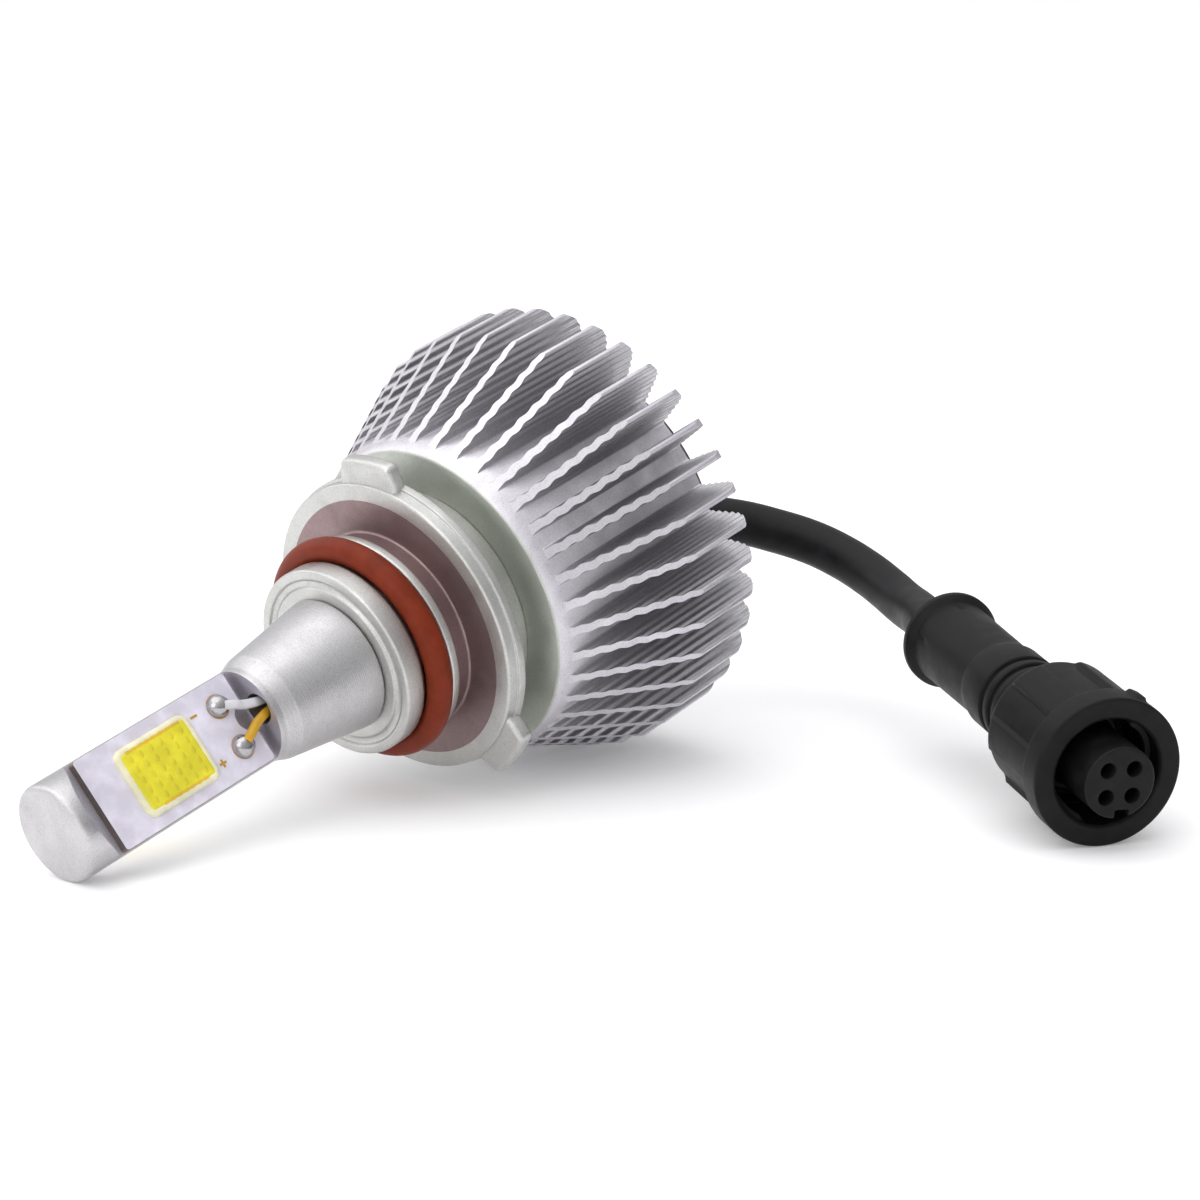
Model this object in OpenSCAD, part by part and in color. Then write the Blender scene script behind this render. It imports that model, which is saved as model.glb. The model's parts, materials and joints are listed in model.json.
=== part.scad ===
// LED headlight bulb with a finned heat sink, a cooling fan, a short cable and a four-way plug.
// It lies on a flat surface: the tip of its lamp post, one corner of its heat sink and the
// plug's coupling nut touch the surface at z = 0.
// Lamp frame: z along the lamp's axis, 0 at the heat sink's front face, the tip at negative z;
// x points down as the lamp lies and y is the part's own y.
// Plug frame: z along the plug's axis, 0 at the coupling nut's front face, the cable at positive z.

/* [Lamp post] */
// Radius of the round bar
post_r = 5; // [4.4:0.1:6]
// Distance from the heat sink's front face to the tip
tip_reach = 51.7; // [46:0.1:62]
// Rounding of the tip's edge
tip_round = 0.7; // [0.3:0.1:1]
// Height of each milled flat above the axis
flat_h = 1.2; // [0.8:0.1:1.6]
// Radius of the rounded end of each milled flat
cutter_r = 5.8; // [5.2:0.1:8]
// Solid bar left in front of the milled flats
tip_land = 1.35; // [1:0.05:3]
// Distance from the heat sink's front face to the wall behind the boards
shoulder_z = 27.2; // [24:0.1:30]
// Radius of the neck's small end
neck_front_r = 5.6; // [5.2:0.1:6.4]
// Radius of the neck's large end
neck_rear_r = 7.05; // [6.4:0.05:8]
// Radius of the shank that is pressed into the socket base and the heat sink
shank_r = 6; // [5:0.1:6.3]
// Radius of each wire bore
wire_bore_r = 1.6; // [1.2:0.1:1.9]
// Height of each wire bore above the axis
wire_bore_h = 3; // [2.6:0.1:3.4]
// Turn of the lamp about its axis: direction in which the front board faces
board_clock = 239; // [0:1:360]

/* [LED boards] */
// Length of each board
board_l = 19.2; // [17:0.1:22]
// Width of each board
board_w = 9.6; // [8:0.1:10]
// Thickness of each board
board_t = 1; // [0.6:0.1:1.2]
// Gap between a board and the wall behind it
board_gap = 0.8; // [0.2:0.1:2]
// Length of the light-emitting field
field_l = 8; // [6:0.1:9]
// Width of the light-emitting field
field_w = 6; // [4:0.1:7]
// Height of the light-emitting field above its board
field_t = 0.45; // [0.3:0.05:0.6]
// Distance from the board's front edge to the field
field_from_front = 4.4; // [3:0.1:5.5]
// Radius of a solder joint
solder_r = 1.15; // [0.8:0.05:1.3]
// Distance between the two solder joints of a board
solder_pitch = 4.5; // [3.6:0.1:5.4]
// Distance from the board's rear edge to its solder joints
solder_from_rear = 2.5; // [2:0.1:4]
// Radius of an insulated lead wire
lead_r = 0.45; // [0.3:0.05:0.5]

/* [Socket base] */
// Radius of the pilot collar
collar_r = 10; // [9:0.1:11]
// Distance from the heat sink's front face to the collar's front face
collar_z = 14.8; // [13.5:0.1:18]
// Front land of the collar, ahead of the sealing groove
collar_land = 2.4; // [1.8:0.1:3]
// Radius of the sealing groove's floor
groove_r = 9.3; // [8.4:0.1:9.6]
// Section radius of the sealing ring
seal_ring_r = 1.3; // [1:0.05:1.4]
// Radius of the ring behind the sealing groove
back_ring_r = 11.1; // [10.4:0.1:12]
// Width of the ring behind the sealing groove
back_ring_w = 1.1; // [0.8:0.1:1.4]
// Radius of the flange
flange_r = 15.6; // [14:0.1:18]
// Distance from the heat sink's front face to the flange's front face
flange_z = 6.4; // [5.5:0.1:7]
// Thickness of the flange
flange_t = 2.3; // [1.8:0.1:2.8]
// Radius of the spacer between the flange and the heat sink
spacer_r = 12.5; // [11:0.1:13.5]
// Radius of the locking lugs
lug_r = 18.1; // [16:0.1:21]
// Width of a locking lug
lug_w = 7.6; // [5:0.1:10]

/* [Heat sink] */
// Radius over the fin tips
sink_r = 23.4; // [21:0.1:28]
// Radius of the flat front face
sink_face_r = 16.4; // [15:0.1:17]
// Length of the heat sink
sink_l = 24.2; // [22:0.1:32]
// Length of the turned cone at its front
cone_l = 14.6; // [10:0.1:18]
// Rounding of the rear end of the fins
rear_round = 3; // [1.5:0.1:4]
// Number of fins
fin_n = 38; // [30:2:40]
// Thickness of a fin near its tip
fin_tip_t = 0.65; // [0.5:0.05:1]
// Thickness of a fin near its root
fin_root_t = 0.9; // [0.7:0.05:1.5]
// Radial pitch of the ripples on the fins
ripple_pitch = 0.88; // [0.7:0.02:1.4]
// Height of the ripples on the fins
ripple_h = 0.16; // [0.05:0.01:0.2]
// Depth of the recess for the fan
recess_d = 11; // [10.5:0.1:12.5]
// Wall between the recess and the channels between the fins
recess_wall = 1.6; // [1.2:0.1:2]

/* [Cooling fan] */
// Side of the square fan frame
fan_w = 20; // [18:0.1:20.2]
// Thickness of the fan
fan_t = 8; // [7.8:0.1:9]
// Distance of a screw hole's axis from the fan frame's sides
fan_hole_inset = 2; // [1.8:0.1:2.4]
// Thinnest wall of the fan frame
fan_wall = 0.7; // [0.6:0.05:1]
// Gap between the blade tips and the duct
blade_gap = 0.4; // [0.3:0.05:0.8]
// Radius of the rotor's hub
hub_r = 5.6; // [5.4:0.1:6]
// Number of blades
blade_n = 7; // [5:1:9]
// Pitch angle of the blades
blade_pitch = 38; // [25:1:45]
// Radius of the fan's shaft
shaft_r = 0.5; // [0.4:0.05:0.6]
// Running clearance around the shaft
shaft_gap = 0.05; // [0.02:0.01:0.1]

/* [Rear cover and cable] */
// Thickness of the rear cover
cover_t = 2; // [1.8:0.1:2.6]
// Radius of the opening in front of the fan
grille_r = 9; // [8:0.1:9.2]
// Radius of the cable
cable_r = 2.5; // [2:0.1:2.5]
// Gap between the cable's end and the fan, and between the cable's end and the recess wall
cable_gap = 0.2; // [0.1:0.05:0.3]
// Direction of the cable's outlet around the axis
outlet_clock = 50; // [0:1:360]
// Length of the tapered sleeve on the outlet
sleeve_l = 4.5; // [3:0.1:8]

/* [Plug] */
// Radius of the coupling nut's front ring
nut_r = 7.55; // [7:0.05:9]
// Length of the coupling nut
nut_l = 13.5; // [12:0.1:16]
// Radius of the coupling nut's bore
nut_bore_r = 5.3; // [5:0.05:5.6]
// Radius of the plug's barrel where the nut turns on it
barrel_r = 4.7; // [4.4:0.05:4.8]
// Running clearance between the nut and the plug
nut_gap = 0.06; // [0.02:0.01:0.1]
// Length of the plug from the nut's front face to the cable
plug_l = 39.5; // [36:0.1:44]
// Radius of the four-way insert
insert_r = 3.6; // [3.4:0.05:3.8]
// How far the insert stands out of the nut
insert_proud = 2.6; // [0:0.1:3]
// Distance between neighbouring contacts
contact_pitch = 2.7; // [2.5:0.1:2.9]
// Radius of a contact's entry hole
contact_hole_r = 0.75; // [0.6:0.05:0.8]

/* [Hidden] */
$fn = 96;
eps = 0.01;
press_gap = 0.02;
tap_gap = 0.03;

// The fan, the cable's end beside it, and the recess that holds both
fan_pitch = fan_w - 2 * fan_hole_inset;
duct_r = fan_w / 2 - fan_wall;
outlet_rho = fan_w / 2 + cable_gap + cable_r;
recess_r = outlet_rho + cable_r + cable_gap;
core_r = recess_r + recess_wall;

// Tilt at which the tip's rounded edge and the heat sink's corner both touch the surface
tip_edge_z = tip_reach - tip_round;
tip_edge_r = post_r - tip_round;
run = cone_l + tip_edge_z;
rise = sink_r - tip_edge_r;
tilt = atan2(rise, run) - asin(tip_round / norm([run, rise]));
axis_h = tip_edge_z * sin(tilt) + tip_edge_r * cos(tilt) + tip_round;

// Place of the lamp frame: the box of lamp, base, sink and cover is centred on x = 0
cover_z = sink_l;
cover_r = core_r;
cover_round = 0.6;
rear_of_cover = (cover_z + cover_t - cover_round) * cos(tilt) + (cover_r - cover_round) * sin(tilt)
    + cover_round;
rear_of_sink = (sink_l - rear_round) * cos(tilt) + (sink_r - rear_round) * sin(tilt) + rear_round;
front_of_tip = tip_edge_z * cos(tilt) + tip_edge_r * sin(tilt) + tip_round;
lamp_x = (front_of_tip - max(rear_of_cover, rear_of_sink)) / 2;

module in_lamp_frame() {
    translate([lamp_x, 0, axis_h]) rotate([0, 90 - tilt, 0]) children();
}

// A point of the lamp frame, in the part's frame
function lamp_point(p) = [
    lamp_x + p[0] * sin(tilt) + p[2] * cos(tilt),
    p[1],
    axis_h - p[0] * cos(tilt) + p[2] * sin(tilt)
];
function polar(r, a, z) = [r * cos(a), r * sin(a), z];

// Place of the plug: its nut's front ring rests on the surface
plug_azimuth = 59.5;
plug_lift = 7;
plug_face = [35, -65.2, nut_r * cos(plug_lift)];
plug_dir = [cos(plug_lift) * cos(plug_azimuth), cos(plug_lift) * sin(plug_azimuth), sin(plug_lift)];

module in_plug_frame() {
    translate(plug_face) rotate([0, 90 - plug_lift, plug_azimuth]) children();
}

// Round solid or ring from radius and height values
module ring(r_out, r_in, z0, z1) {
    translate([0, 0, z0]) difference() {
        cylinder(r = r_out, h = z1 - z0);
        if (r_in > 0) translate([0, 0, -eps]) cylinder(r = r_in, h = z1 - z0 + 2 * eps);
    }
}
module bore(r, z0, z1) {
    translate([0, 0, z0]) cylinder(r = r, h = z1 - z0);
}
function arc(cx, cy, r, a0, a1, n) = [
    for (i = [0 : n]) let (a = a0 + (a1 - a0) * i / n) [cx + r * cos(a), cy + r * sin(a)]
];

// ---- Swept tube along points, with given directions at its two ends ----
function unit(v) = v / norm(v);
function tangent(p, i, d0, d1) =
    i == 0 ? d0 : i == len(p) - 1 ? d1 : unit(unit(p[i] - p[i - 1]) + unit(p[i + 1] - p[i]));
// Carries the side vector along the route without twist
function sides_along(p, d0, d1, i, u) =
    let (t = tangent(p, i, d0, d1), v = unit(u - (u * t) * t))
    i == len(p) - 1 ? [[t, v]] : concat([[t, v]], sides_along(p, d0, d1, i + 1, v));
module swept_tube(p, r, n, d0, d1, up) {
    frames = sides_along(p, d0, d1, 0, up);
    pts = [
        for (i = [0 : len(p) - 1], k = [0 : n - 1])
            let (u = frames[i][1], w = cross(frames[i][0], u))
            p[i] + r * (cos(360 * k / n) * u + sin(360 * k / n) * w)
    ];
    walls = [
        for (i = [0 : len(p) - 2], k = [0 : n - 1])
            let (a = i * n + k, b = i * n + (k + 1) % n)
            each [[a, a + n, b], [b, a + n, b + n]]
    ];
    first = [for (k = [0 : n - 1]) k];
    last = [for (k = [n - 1 : -1 : 0]) (len(p) - 1) * n + k];
    polyhedron(points = pts, faces = concat([first], walls, [last]), convexity = 6);
}

// ---- Lamp post ----
board_rear_z = -shoulder_z - board_gap;
board_front_z = board_rear_z - board_l;
neck_start_z = -shoulder_z + 0.8;
neck_front_z = neck_start_z + 1.6;
recess_floor = sink_l - recess_d;
shank_end = recess_floor - 0.4;

module milled_flat() {
    pocket_end = -tip_reach + tip_land + cutter_r;
    rotate([0, 90, 0]) translate([0, 0, flat_h]) linear_extrude(post_r) {
        translate([-pocket_end, 0]) circle(r = cutter_r);
        translate([shoulder_z, -post_r - 1]) square([-pocket_end - shoulder_z, 2 * post_r + 2]);
    }
}
module lamp_post() {
    profile = concat(
        [[0, -tip_reach]],
        arc(post_r - tip_round, -tip_edge_z, tip_round, -90, 0, 8),
        [
            [post_r, neck_start_z], [neck_front_r, neck_front_z], [neck_rear_r, -collar_z],
            [shank_r, -collar_z], [shank_r, shank_end - 0.5], [shank_r - 0.5, shank_end],
            [0, shank_end]
        ]
    );
    color("#c9cace") in_lamp_frame() rotate([0, 0, board_clock]) difference() {
        rotate_extrude() polygon(profile);
        for (turn = [0, 180]) rotate([0, 0, turn]) {
            milled_flat();
            translate([wire_bore_h, 0, -shoulder_z - 1])
                cylinder(r = wire_bore_r, h = shoulder_z + shank_end + 2);
        }
    }
}

// ---- LED boards, light fields and solder joints ----
module on_board(side) {
    in_lamp_frame() rotate([0, 0, board_clock + side]) translate([flat_h, 0, board_front_z])
        rotate([0, -90, 0]) mirror([0, 0, 1]) children();
}
module board(side) {
    notch_r = 1.5;
    corner = 0.4;
    color("#e9e9ec") on_board(side) linear_extrude(board_t) difference() {
        translate([0, -board_w / 2]) {
            translate([corner, 0]) square([board_l - 2 * corner, board_w]);
            translate([0, corner]) square([board_l, board_w - 2 * corner]);
            for (x = [corner, board_l - corner], y = [corner, board_w - corner])
                translate([x, y]) circle(r = corner, $fn = 24);
        }
        translate([board_l, 0]) circle(r = notch_r);
    }
}
module light_field(side) {
    corner = 0.5;
    color("#f2e21c") on_board(side)
        translate([field_from_front + corner, -field_w / 2 + corner, board_t])
            linear_extrude(field_t) {
                translate([-corner, 0]) square([field_l, field_w - 2 * corner]);
                translate([0, -corner]) square([field_l - 2 * corner, field_w]);
                for (x = [0, field_l - 2 * corner], y = [0, field_w - 2 * corner])
                    translate([x, y]) circle(r = corner, $fn = 24);
            }
}
module led_board_front() { board(0); }
module led_board_back() { board(180); }
module light_field_front() { light_field(0); }
module light_field_back() { light_field(180); }
solder_z = board_rear_z - solder_from_rear;
solder_dome_h = 0.8 * solder_r;
module solder_joints() {
    color("#b9bcc2") for (side = [0, 180], y = [-1, 1])
        on_board(side) translate([board_l - solder_from_rear, y * solder_pitch / 2, board_t])
            intersection() {
                translate([0, 0, solder_dome_h - solder_r]) sphere(r = solder_r);
                cylinder(r = solder_r, h = solder_r);
            }
}

// ---- Lead wires from the boards through the wire bores to the cable's end ----
lead_y = 0.62;
cross_z = [recess_floor + 2.2, recess_floor + 1];
tail_end = sink_l - fan_t + 2.2;
wires_rho = outlet_rho + 0.9;
// A point beside the outlet's radius, in the lamp frame
function beside(rho, lateral, z) =
    polar(rho, outlet_clock, z) + lateral * [-sin(outlet_clock), cos(outlet_clock), 0];
// One wire: side 0 is the front board's, 1 the back board's, and hand is -1 or 1
function lead_route(side, hand) =
    let (
        a = board_clock + 180 * side,
        across = hand * [-sin(a), cos(a), 0],
        top = flat_h + board_t + 0.75 * solder_dome_h,
        lateral = hand * (side == 0 ? -1.65 : 0.55),
        z = cross_z[side],
        bend = 0.5
    )
    [
        polar(top, a, solder_z + 0.3) + (solder_pitch / 2 - 0.2) * across,
        polar(top + 0.5, a, solder_z + 1.2) + (solder_pitch / 2 - 0.45) * across,
        polar(top + 0.45, a, solder_z + 2.2) + (solder_pitch / 2 - 1) * across,
        polar(wire_bore_h + 0.15, a, -shoulder_z - 0.2) + (lead_y + 0.1) * across,
        polar(wire_bore_h, a, -shoulder_z + 1) + lead_y * across,
        polar(wire_bore_h, a, z - 2 * bend) + lead_y * across,
        polar(wire_bore_h, a, z - bend) + lead_y * across + 0.15 * polar(1, outlet_clock, 0),
        polar(wire_bore_h, a, z) + lead_y * across + 2 * bend * polar(1, outlet_clock, 0),
        beside(wires_rho - 4, lateral, z),
        beside(wires_rho - 2 * bend, lateral, z),
        beside(wires_rho - 0.15, lateral, z + bend),
        beside(wires_rho, lateral, z + 2 * bend),
        beside(wires_rho, lateral, tail_end - 0.02)
    ];
module lead_wire(side, hand) {
    p = lead_route(side, hand);
    last = len(p) - 1;
    in_lamp_frame()
        swept_tube(p, lead_r, 8, unit(p[1] - p[0]), unit(p[last] - p[last - 1]), [1, 0.2, 0]);
}
module yellow_lead_wires() { color("#e8c21a") for (side = [0, 1]) lead_wire(side, 1); }
module white_lead_wires() { color("#ececec") for (side = [0, 1]) lead_wire(side, -1); }

// ---- Socket base with its sealing ring and set screw ----
groove_front_z = -collar_z + collar_land;
groove_w = 2 * seal_ring_r + 0.2;
groove_back_z = groove_front_z + groove_w;
flange_back_z = -flange_z + flange_t;
lug_clocks = [182, 315, 68];
set_screw_r = 1.25;
set_screw_clock = 30;
set_screw_z = flange_back_z / 2;

module socket_base() {
    edge = 1;
    waist_r = collar_r + 0.4;
    step = 0.25;
    profile = concat(
        [[shank_r + press_gap, -collar_z], [8.2, -collar_z], [8.35, -collar_z + 0.3],
         [8.85, -collar_z + 0.3], [9, -collar_z]],
        arc(collar_r - edge, -collar_z + edge, edge, -90, 0, 8),
        [
            [collar_r, groove_front_z], [groove_r, groove_front_z], [groove_r, groove_back_z],
            [back_ring_r - 0.3, groove_back_z], [back_ring_r, groove_back_z + 0.3],
            [back_ring_r, groove_back_z + back_ring_w], [waist_r, groove_back_z + back_ring_w],
            [waist_r, -flange_z], [flange_r - 0.4, -flange_z], [flange_r, -flange_z + 0.4],
            [flange_r, -flange_z + flange_t * 0.55], [flange_r + step, -flange_z + flange_t * 0.55],
            [flange_r + step, flange_back_z], [spacer_r, flange_back_z], [spacer_r, 0],
            [shank_r + press_gap, 0]
        ]
    );
    color("#cfd0cd") in_lamp_frame() difference() {
        union() {
            rotate_extrude() polygon(profile);
            for (a = lug_clocks) rotate([0, 0, a]) intersection() {
                ring(lug_r, collar_r + 1, -flange_z + 0.2, flange_back_z);
                translate([0, -lug_w / 2, -flange_z]) cube([lug_r + 1, lug_w, flange_t]);
            }
        }
        translate([0, 0, set_screw_z]) rotate([0, 90, set_screw_clock])
            cylinder(r = set_screw_r + tap_gap, h = spacer_r + 1);
    }
}
module sealing_ring() {
    color("#a8351a") in_lamp_frame() translate([0, 0, (groove_front_z + groove_back_z) / 2])
        rotate_extrude() translate([groove_r + seal_ring_r, 0]) circle(r = seal_ring_r, $fn = 48);
}
module base_set_screw() {
    color("#3a3a3c") in_lamp_frame() translate([0, 0, set_screw_z]) rotate([0, 90, set_screw_clock])
        difference() {
            translate([0, 0, shank_r + press_gap])
                cylinder(r = set_screw_r, h = spacer_r - shank_r - 1);
            translate([0, 0, spacer_r - 2.6]) cylinder(r = 0.72, h = 3, $fn = 6);
        }
}

// ---- Heat sink ----
fin_step = 360 / fin_n;
fin_tip_round = fin_tip_t / 2;
ripple_n = floor((sink_r - core_r - 0.9) / ripple_pitch);
// Half thickness and sideways shift of a fin at radius r
function fin_half(r) = (fin_root_t + (fin_tip_t - fin_root_t) * (r - core_r) / (sink_r - core_r)) / 2;
function fin_flank(hand) = [
    for (i = [0 : 2 * ripple_n])
        let (r = core_r + 0.5 + i * ripple_pitch / 2, shift = (i % 2 == 0 ? -1 : 1) * ripple_h / 2)
        [r, hand * fin_half(r) + shift]
];
function reversed(p) = [for (i = [len(p) - 1 : -1 : 0]) p[i]];
fin_outline = concat(
    [[core_r, -fin_root_t / 2 - 0.3]],
    fin_flank(-1),
    arc(sink_r - fin_tip_round, 0, fin_tip_round, -75, 75, 4),
    reversed(fin_flank(1)),
    [[core_r, fin_root_t / 2 + 0.3]]
);
function turned(p, a) = [for (q = p) [q[0] * cos(a) - q[1] * sin(a), q[0] * sin(a) + q[1] * cos(a)]];
pedestal_r = 2.2;
pedestal_top = sink_l - fan_t;
fan_screw_r = 0.95;

module at_fan_holes() {
    rotate([0, 0, outlet_clock]) for (x = [-1, 1], y = [-1, 1])
        translate([x * fan_pitch / 2, y * fan_pitch / 2]) children();
}
module heat_sink() {
    envelope = concat(
        [[0, 0], [sink_face_r, 0], [sink_r + 0.2, cone_l + 0.2 * cone_l / (sink_r - sink_face_r)]],
        [[sink_r + 0.2, sink_l - rear_round]],
        arc(sink_r - rear_round, sink_l - rear_round, rear_round, 0, 90, 8),
        [[0, sink_l]]
    );
    port_w = 1.2;
    port_h = 2.4;
    color("#b4b5bb") in_lamp_frame() difference() {
        intersection() {
            linear_extrude(sink_l) polygon([
                for (k = [0 : fin_n - 1]) each turned(fin_outline, k * fin_step)
            ]);
            rotate_extrude() polygon(envelope);
        }
        difference() {
            bore(recess_r, recess_floor, sink_l + 1);
            at_fan_holes() bore(pedestal_r, recess_floor - 1, pedestal_top);
        }
        bore(shank_r + press_gap, -1, recess_floor + 1);
        at_fan_holes() bore(fan_screw_r + tap_gap, recess_floor - 3, sink_l);
        for (k = [0 : 2 : fin_n - 1]) rotate([0, 0, (k + 0.5) * fin_step])
            translate([recess_r - 1, -port_w / 2, recess_floor + 0.4])
                cube([recess_wall + 2, port_w, port_h]);
    }
}

// ---- Cooling fan: the rotor's open side faces the lamp, air enters through the rear cover ----
fan_z = sink_l - fan_t;
base_t = 1;
tube_r = 1.7;
bearing_r = 1.15;
tube_top = fan_z + 5.8;
bearing_z = fan_z + 1.8;
hub_z = fan_z + 1.9;
hub_top = fan_z + 7.2;
hub_wall = 0.55;
hub_cap_t = 0.8;
magnet_t = 0.7;
rotor_inner_r = hub_r - hub_wall;
stator_r = rotor_inner_r - magnet_t - 0.3;
stator_z = fan_z + 2.4;
stator_t = 2.4;
fan_board_r = 4.9;

module in_fan_frame() {
    in_lamp_frame() rotate([0, 0, outlet_clock]) children();
}
module fan_frame() {
    corner = 1.5;
    base_r = 5.2;
    strut_w = 1.2;
    color("#242426") in_fan_frame() difference() {
        union() {
            difference() {
                translate([0, 0, fan_z]) linear_extrude(fan_t) {
                    square([fan_w, fan_w - 2 * corner], center = true);
                    square([fan_w - 2 * corner, fan_w], center = true);
                    for (x = [-1, 1], y = [-1, 1])
                        translate([x, y] * (fan_w / 2 - corner)) circle(r = corner, $fn = 32);
                }
                bore(duct_r, fan_z - 1, fan_z + fan_t + 1);
                rotate([0, 0, -outlet_clock]) at_fan_holes()
                    bore(fan_screw_r + 0.15, fan_z - 1, fan_z + fan_t + 1);
            }
            ring(base_r, 0, fan_z, fan_z + base_t);
            ring(tube_r, 0, fan_z, tube_top);
            for (a = [60, 180, 300]) rotate([0, 0, a])
                translate([base_r - 0.5, -strut_w / 2, fan_z]) cube([duct_r - base_r + 1, strut_w, base_t]);
        }
        bore(bearing_r, fan_z + 1.1, tube_top + 1);
        // Notch that lets the fan's two wires out
        translate([duct_r - 1, -1.1, fan_z - 1]) cube([fan_w / 2 - duct_r + 2, 2.2, base_t + 1.9]);
    }
}
module fan_rotor() {
    blade_r = duct_r - blade_gap;
    blade_z = (hub_z + hub_top) / 2 - 0.2;
    blade_l = 6.2;
    blade_t = 0.55;
    color("#2d2d30") in_fan_frame() {
        difference() {
            union() {
                ring(hub_r, rotor_inner_r, hub_z, hub_top - 0.4);
                ring(hub_r, 0, hub_top - hub_cap_t, hub_top);
                ring(1.3, 0, hub_top - hub_cap_t - 0.35, hub_top - hub_cap_t + eps);
            }
            bore(shaft_r, hub_z, hub_top - 0.25);
        }
        intersection() {
            ring(blade_r, hub_r - 0.02, hub_z, hub_top - 0.3);
            for (k = [0 : blade_n - 1]) rotate([0, 0, k * 360 / blade_n])
                translate([0, 0, blade_z]) rotate([blade_pitch, 0, 0])
                    translate([hub_r * 0.9, -blade_l / 2, -blade_t / 2])
                        cube([blade_r, blade_l, blade_t]);
        }
    }
}
module rotor_magnet() {
    color("#4b4744") in_fan_frame()
        ring(rotor_inner_r, rotor_inner_r - magnet_t, hub_z + 0.2, hub_top - hub_cap_t - 0.2);
}
module fan_shaft() {
    color("#c7c9cc") in_fan_frame() bore(shaft_r, fan_z + 1.2, hub_top - 0.25);
}
module shaft_clip() {
    color("#e6e2d6") in_fan_frame() ring(bearing_r - 0.2, shaft_r, bearing_z - 0.35, bearing_z - 0.12);
}
module shaft_bearing() {
    color("#b08d4a") in_fan_frame() ring(bearing_r, shaft_r + shaft_gap, bearing_z, tube_top - 0.1);
}
module stator_core() {
    arm_w = 1;
    shoe_t = 0.55;
    color("#8c8f94") in_fan_frame() translate([0, 0, stator_z]) linear_extrude(stator_t) difference() {
        union() {
            circle(r = tube_r + 0.55);
            for (a = [0 : 90 : 270]) rotate(a) {
                translate([0, -arm_w / 2]) square([stator_r - 0.2, arm_w]);
                intersection() {
                    difference() {
                        circle(r = stator_r);
                        circle(r = stator_r - shoe_t);
                    }
                    translate([0, -1.7]) square([stator_r + 1, 3.4]);
                }
            }
        }
        circle(r = tube_r);
    }
}
module stator_coils() {
    coil_in = tube_r + 0.6;
    coil_out = stator_r - 0.75;
    color("#a8552c") in_fan_frame() for (a = [0 : 90 : 270]) rotate([0, 0, a])
        translate([coil_in, 0, stator_z + stator_t / 2]) rotate([0, 90, 0])
            linear_extrude(coil_out - coil_in) difference() {
                square([stator_t + 0.8, 2], center = true);
                square([stator_t, 1], center = true);
            }
}
module fan_circuit_board() {
    color("#1f5a35") in_fan_frame() ring(fan_board_r, tube_r, fan_z + base_t, fan_z + base_t + 0.5);
}
module fan_lead_wires() {
    wire_r = 0.35;
    start = fan_board_r + 0.05;
    color("#8f1d1d") in_fan_frame() for (y = [-0.5, 0.5])
        translate([start, y, fan_z + base_t + wire_r + eps]) rotate([0, 90, 0])
            cylinder(r = wire_r, h = outlet_rho - 0.3 - start, $fn = 24);
}

// ---- Rear cover, its screws and the cable outlet ----
screw_head_r = 1.9;
screw_head_t = 1.2;
grommet_r = cable_r + 0.5;
module outlet() {
    rotate([0, 0, outlet_clock]) translate([outlet_rho, 0, 0]) children();
}
module rear_cover() {
    bar = 0.9;
    bar_t = 1;
    rings = [3, 5, 7];
    profile = concat(
        [[0, cover_z], [cover_r, cover_z]],
        arc(cover_r - cover_round, cover_z + cover_t - cover_round, cover_round, 0, 90, 6),
        [[0, cover_z + cover_t]]
    );
    color("#1f1f21") in_lamp_frame() difference() {
        union() {
            difference() {
                rotate_extrude() polygon(profile);
                bore(grille_r, cover_z - 1, cover_z + cover_t + 1);
            }
            for (r = rings) ring(r, r == rings[0] ? 0 : r - bar, cover_z + cover_t - bar_t, cover_z + cover_t);
            for (a = [10 : 90 : 280]) rotate([0, 0, outlet_clock + a])
                translate([0, -bar / 2, cover_z + cover_t - bar_t]) cube([grille_r + 0.3, bar, bar_t]);
        }
        outlet() bore(grommet_r + press_gap, cover_z - 1, cover_z + cover_t + 1);
        at_fan_holes() {
            bore(fan_screw_r + 0.15, cover_z - 1, cover_z + cover_t + 1);
            bore(screw_head_r + 0.15, cover_z + cover_t - screw_head_t, cover_z + cover_t + 1);
        }
    }
}
module fan_screws() {
    head_z = cover_z + cover_t - screw_head_t;
    color("#9a9da3") in_lamp_frame() at_fan_holes() difference() {
        union() {
            bore(fan_screw_r, recess_floor - 2, head_z + eps);
            bore(screw_head_r, head_z, head_z + screw_head_t - 0.1);
        }
        for (a = [0, 90]) rotate([0, 0, a]) translate([-1.1, -0.2, head_z + 0.5]) cube([2.2, 0.4, 1]);
    }
}
module cable_grommet() {
    flange_h = 1.2;
    sleeve_z = cover_z + cover_t;
    profile = [
        [cable_r, cover_z], [grommet_r, cover_z], [grommet_r, sleeve_z], [cable_r + 1.5, sleeve_z],
        [cable_r + 1.5, sleeve_z + flange_h], [cable_r + 1.1, sleeve_z + flange_h],
        [cable_r + 0.45, sleeve_z + sleeve_l], [cable_r, sleeve_z + sleeve_l]
    ];
    color("#191919") in_lamp_frame() outlet() rotate_extrude() polygon(profile);
}
module cable_tail() {
    color("#202020") in_lamp_frame() outlet() bore(cable_r, tail_end, cover_z + cover_t + sleeve_l);
}

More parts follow.
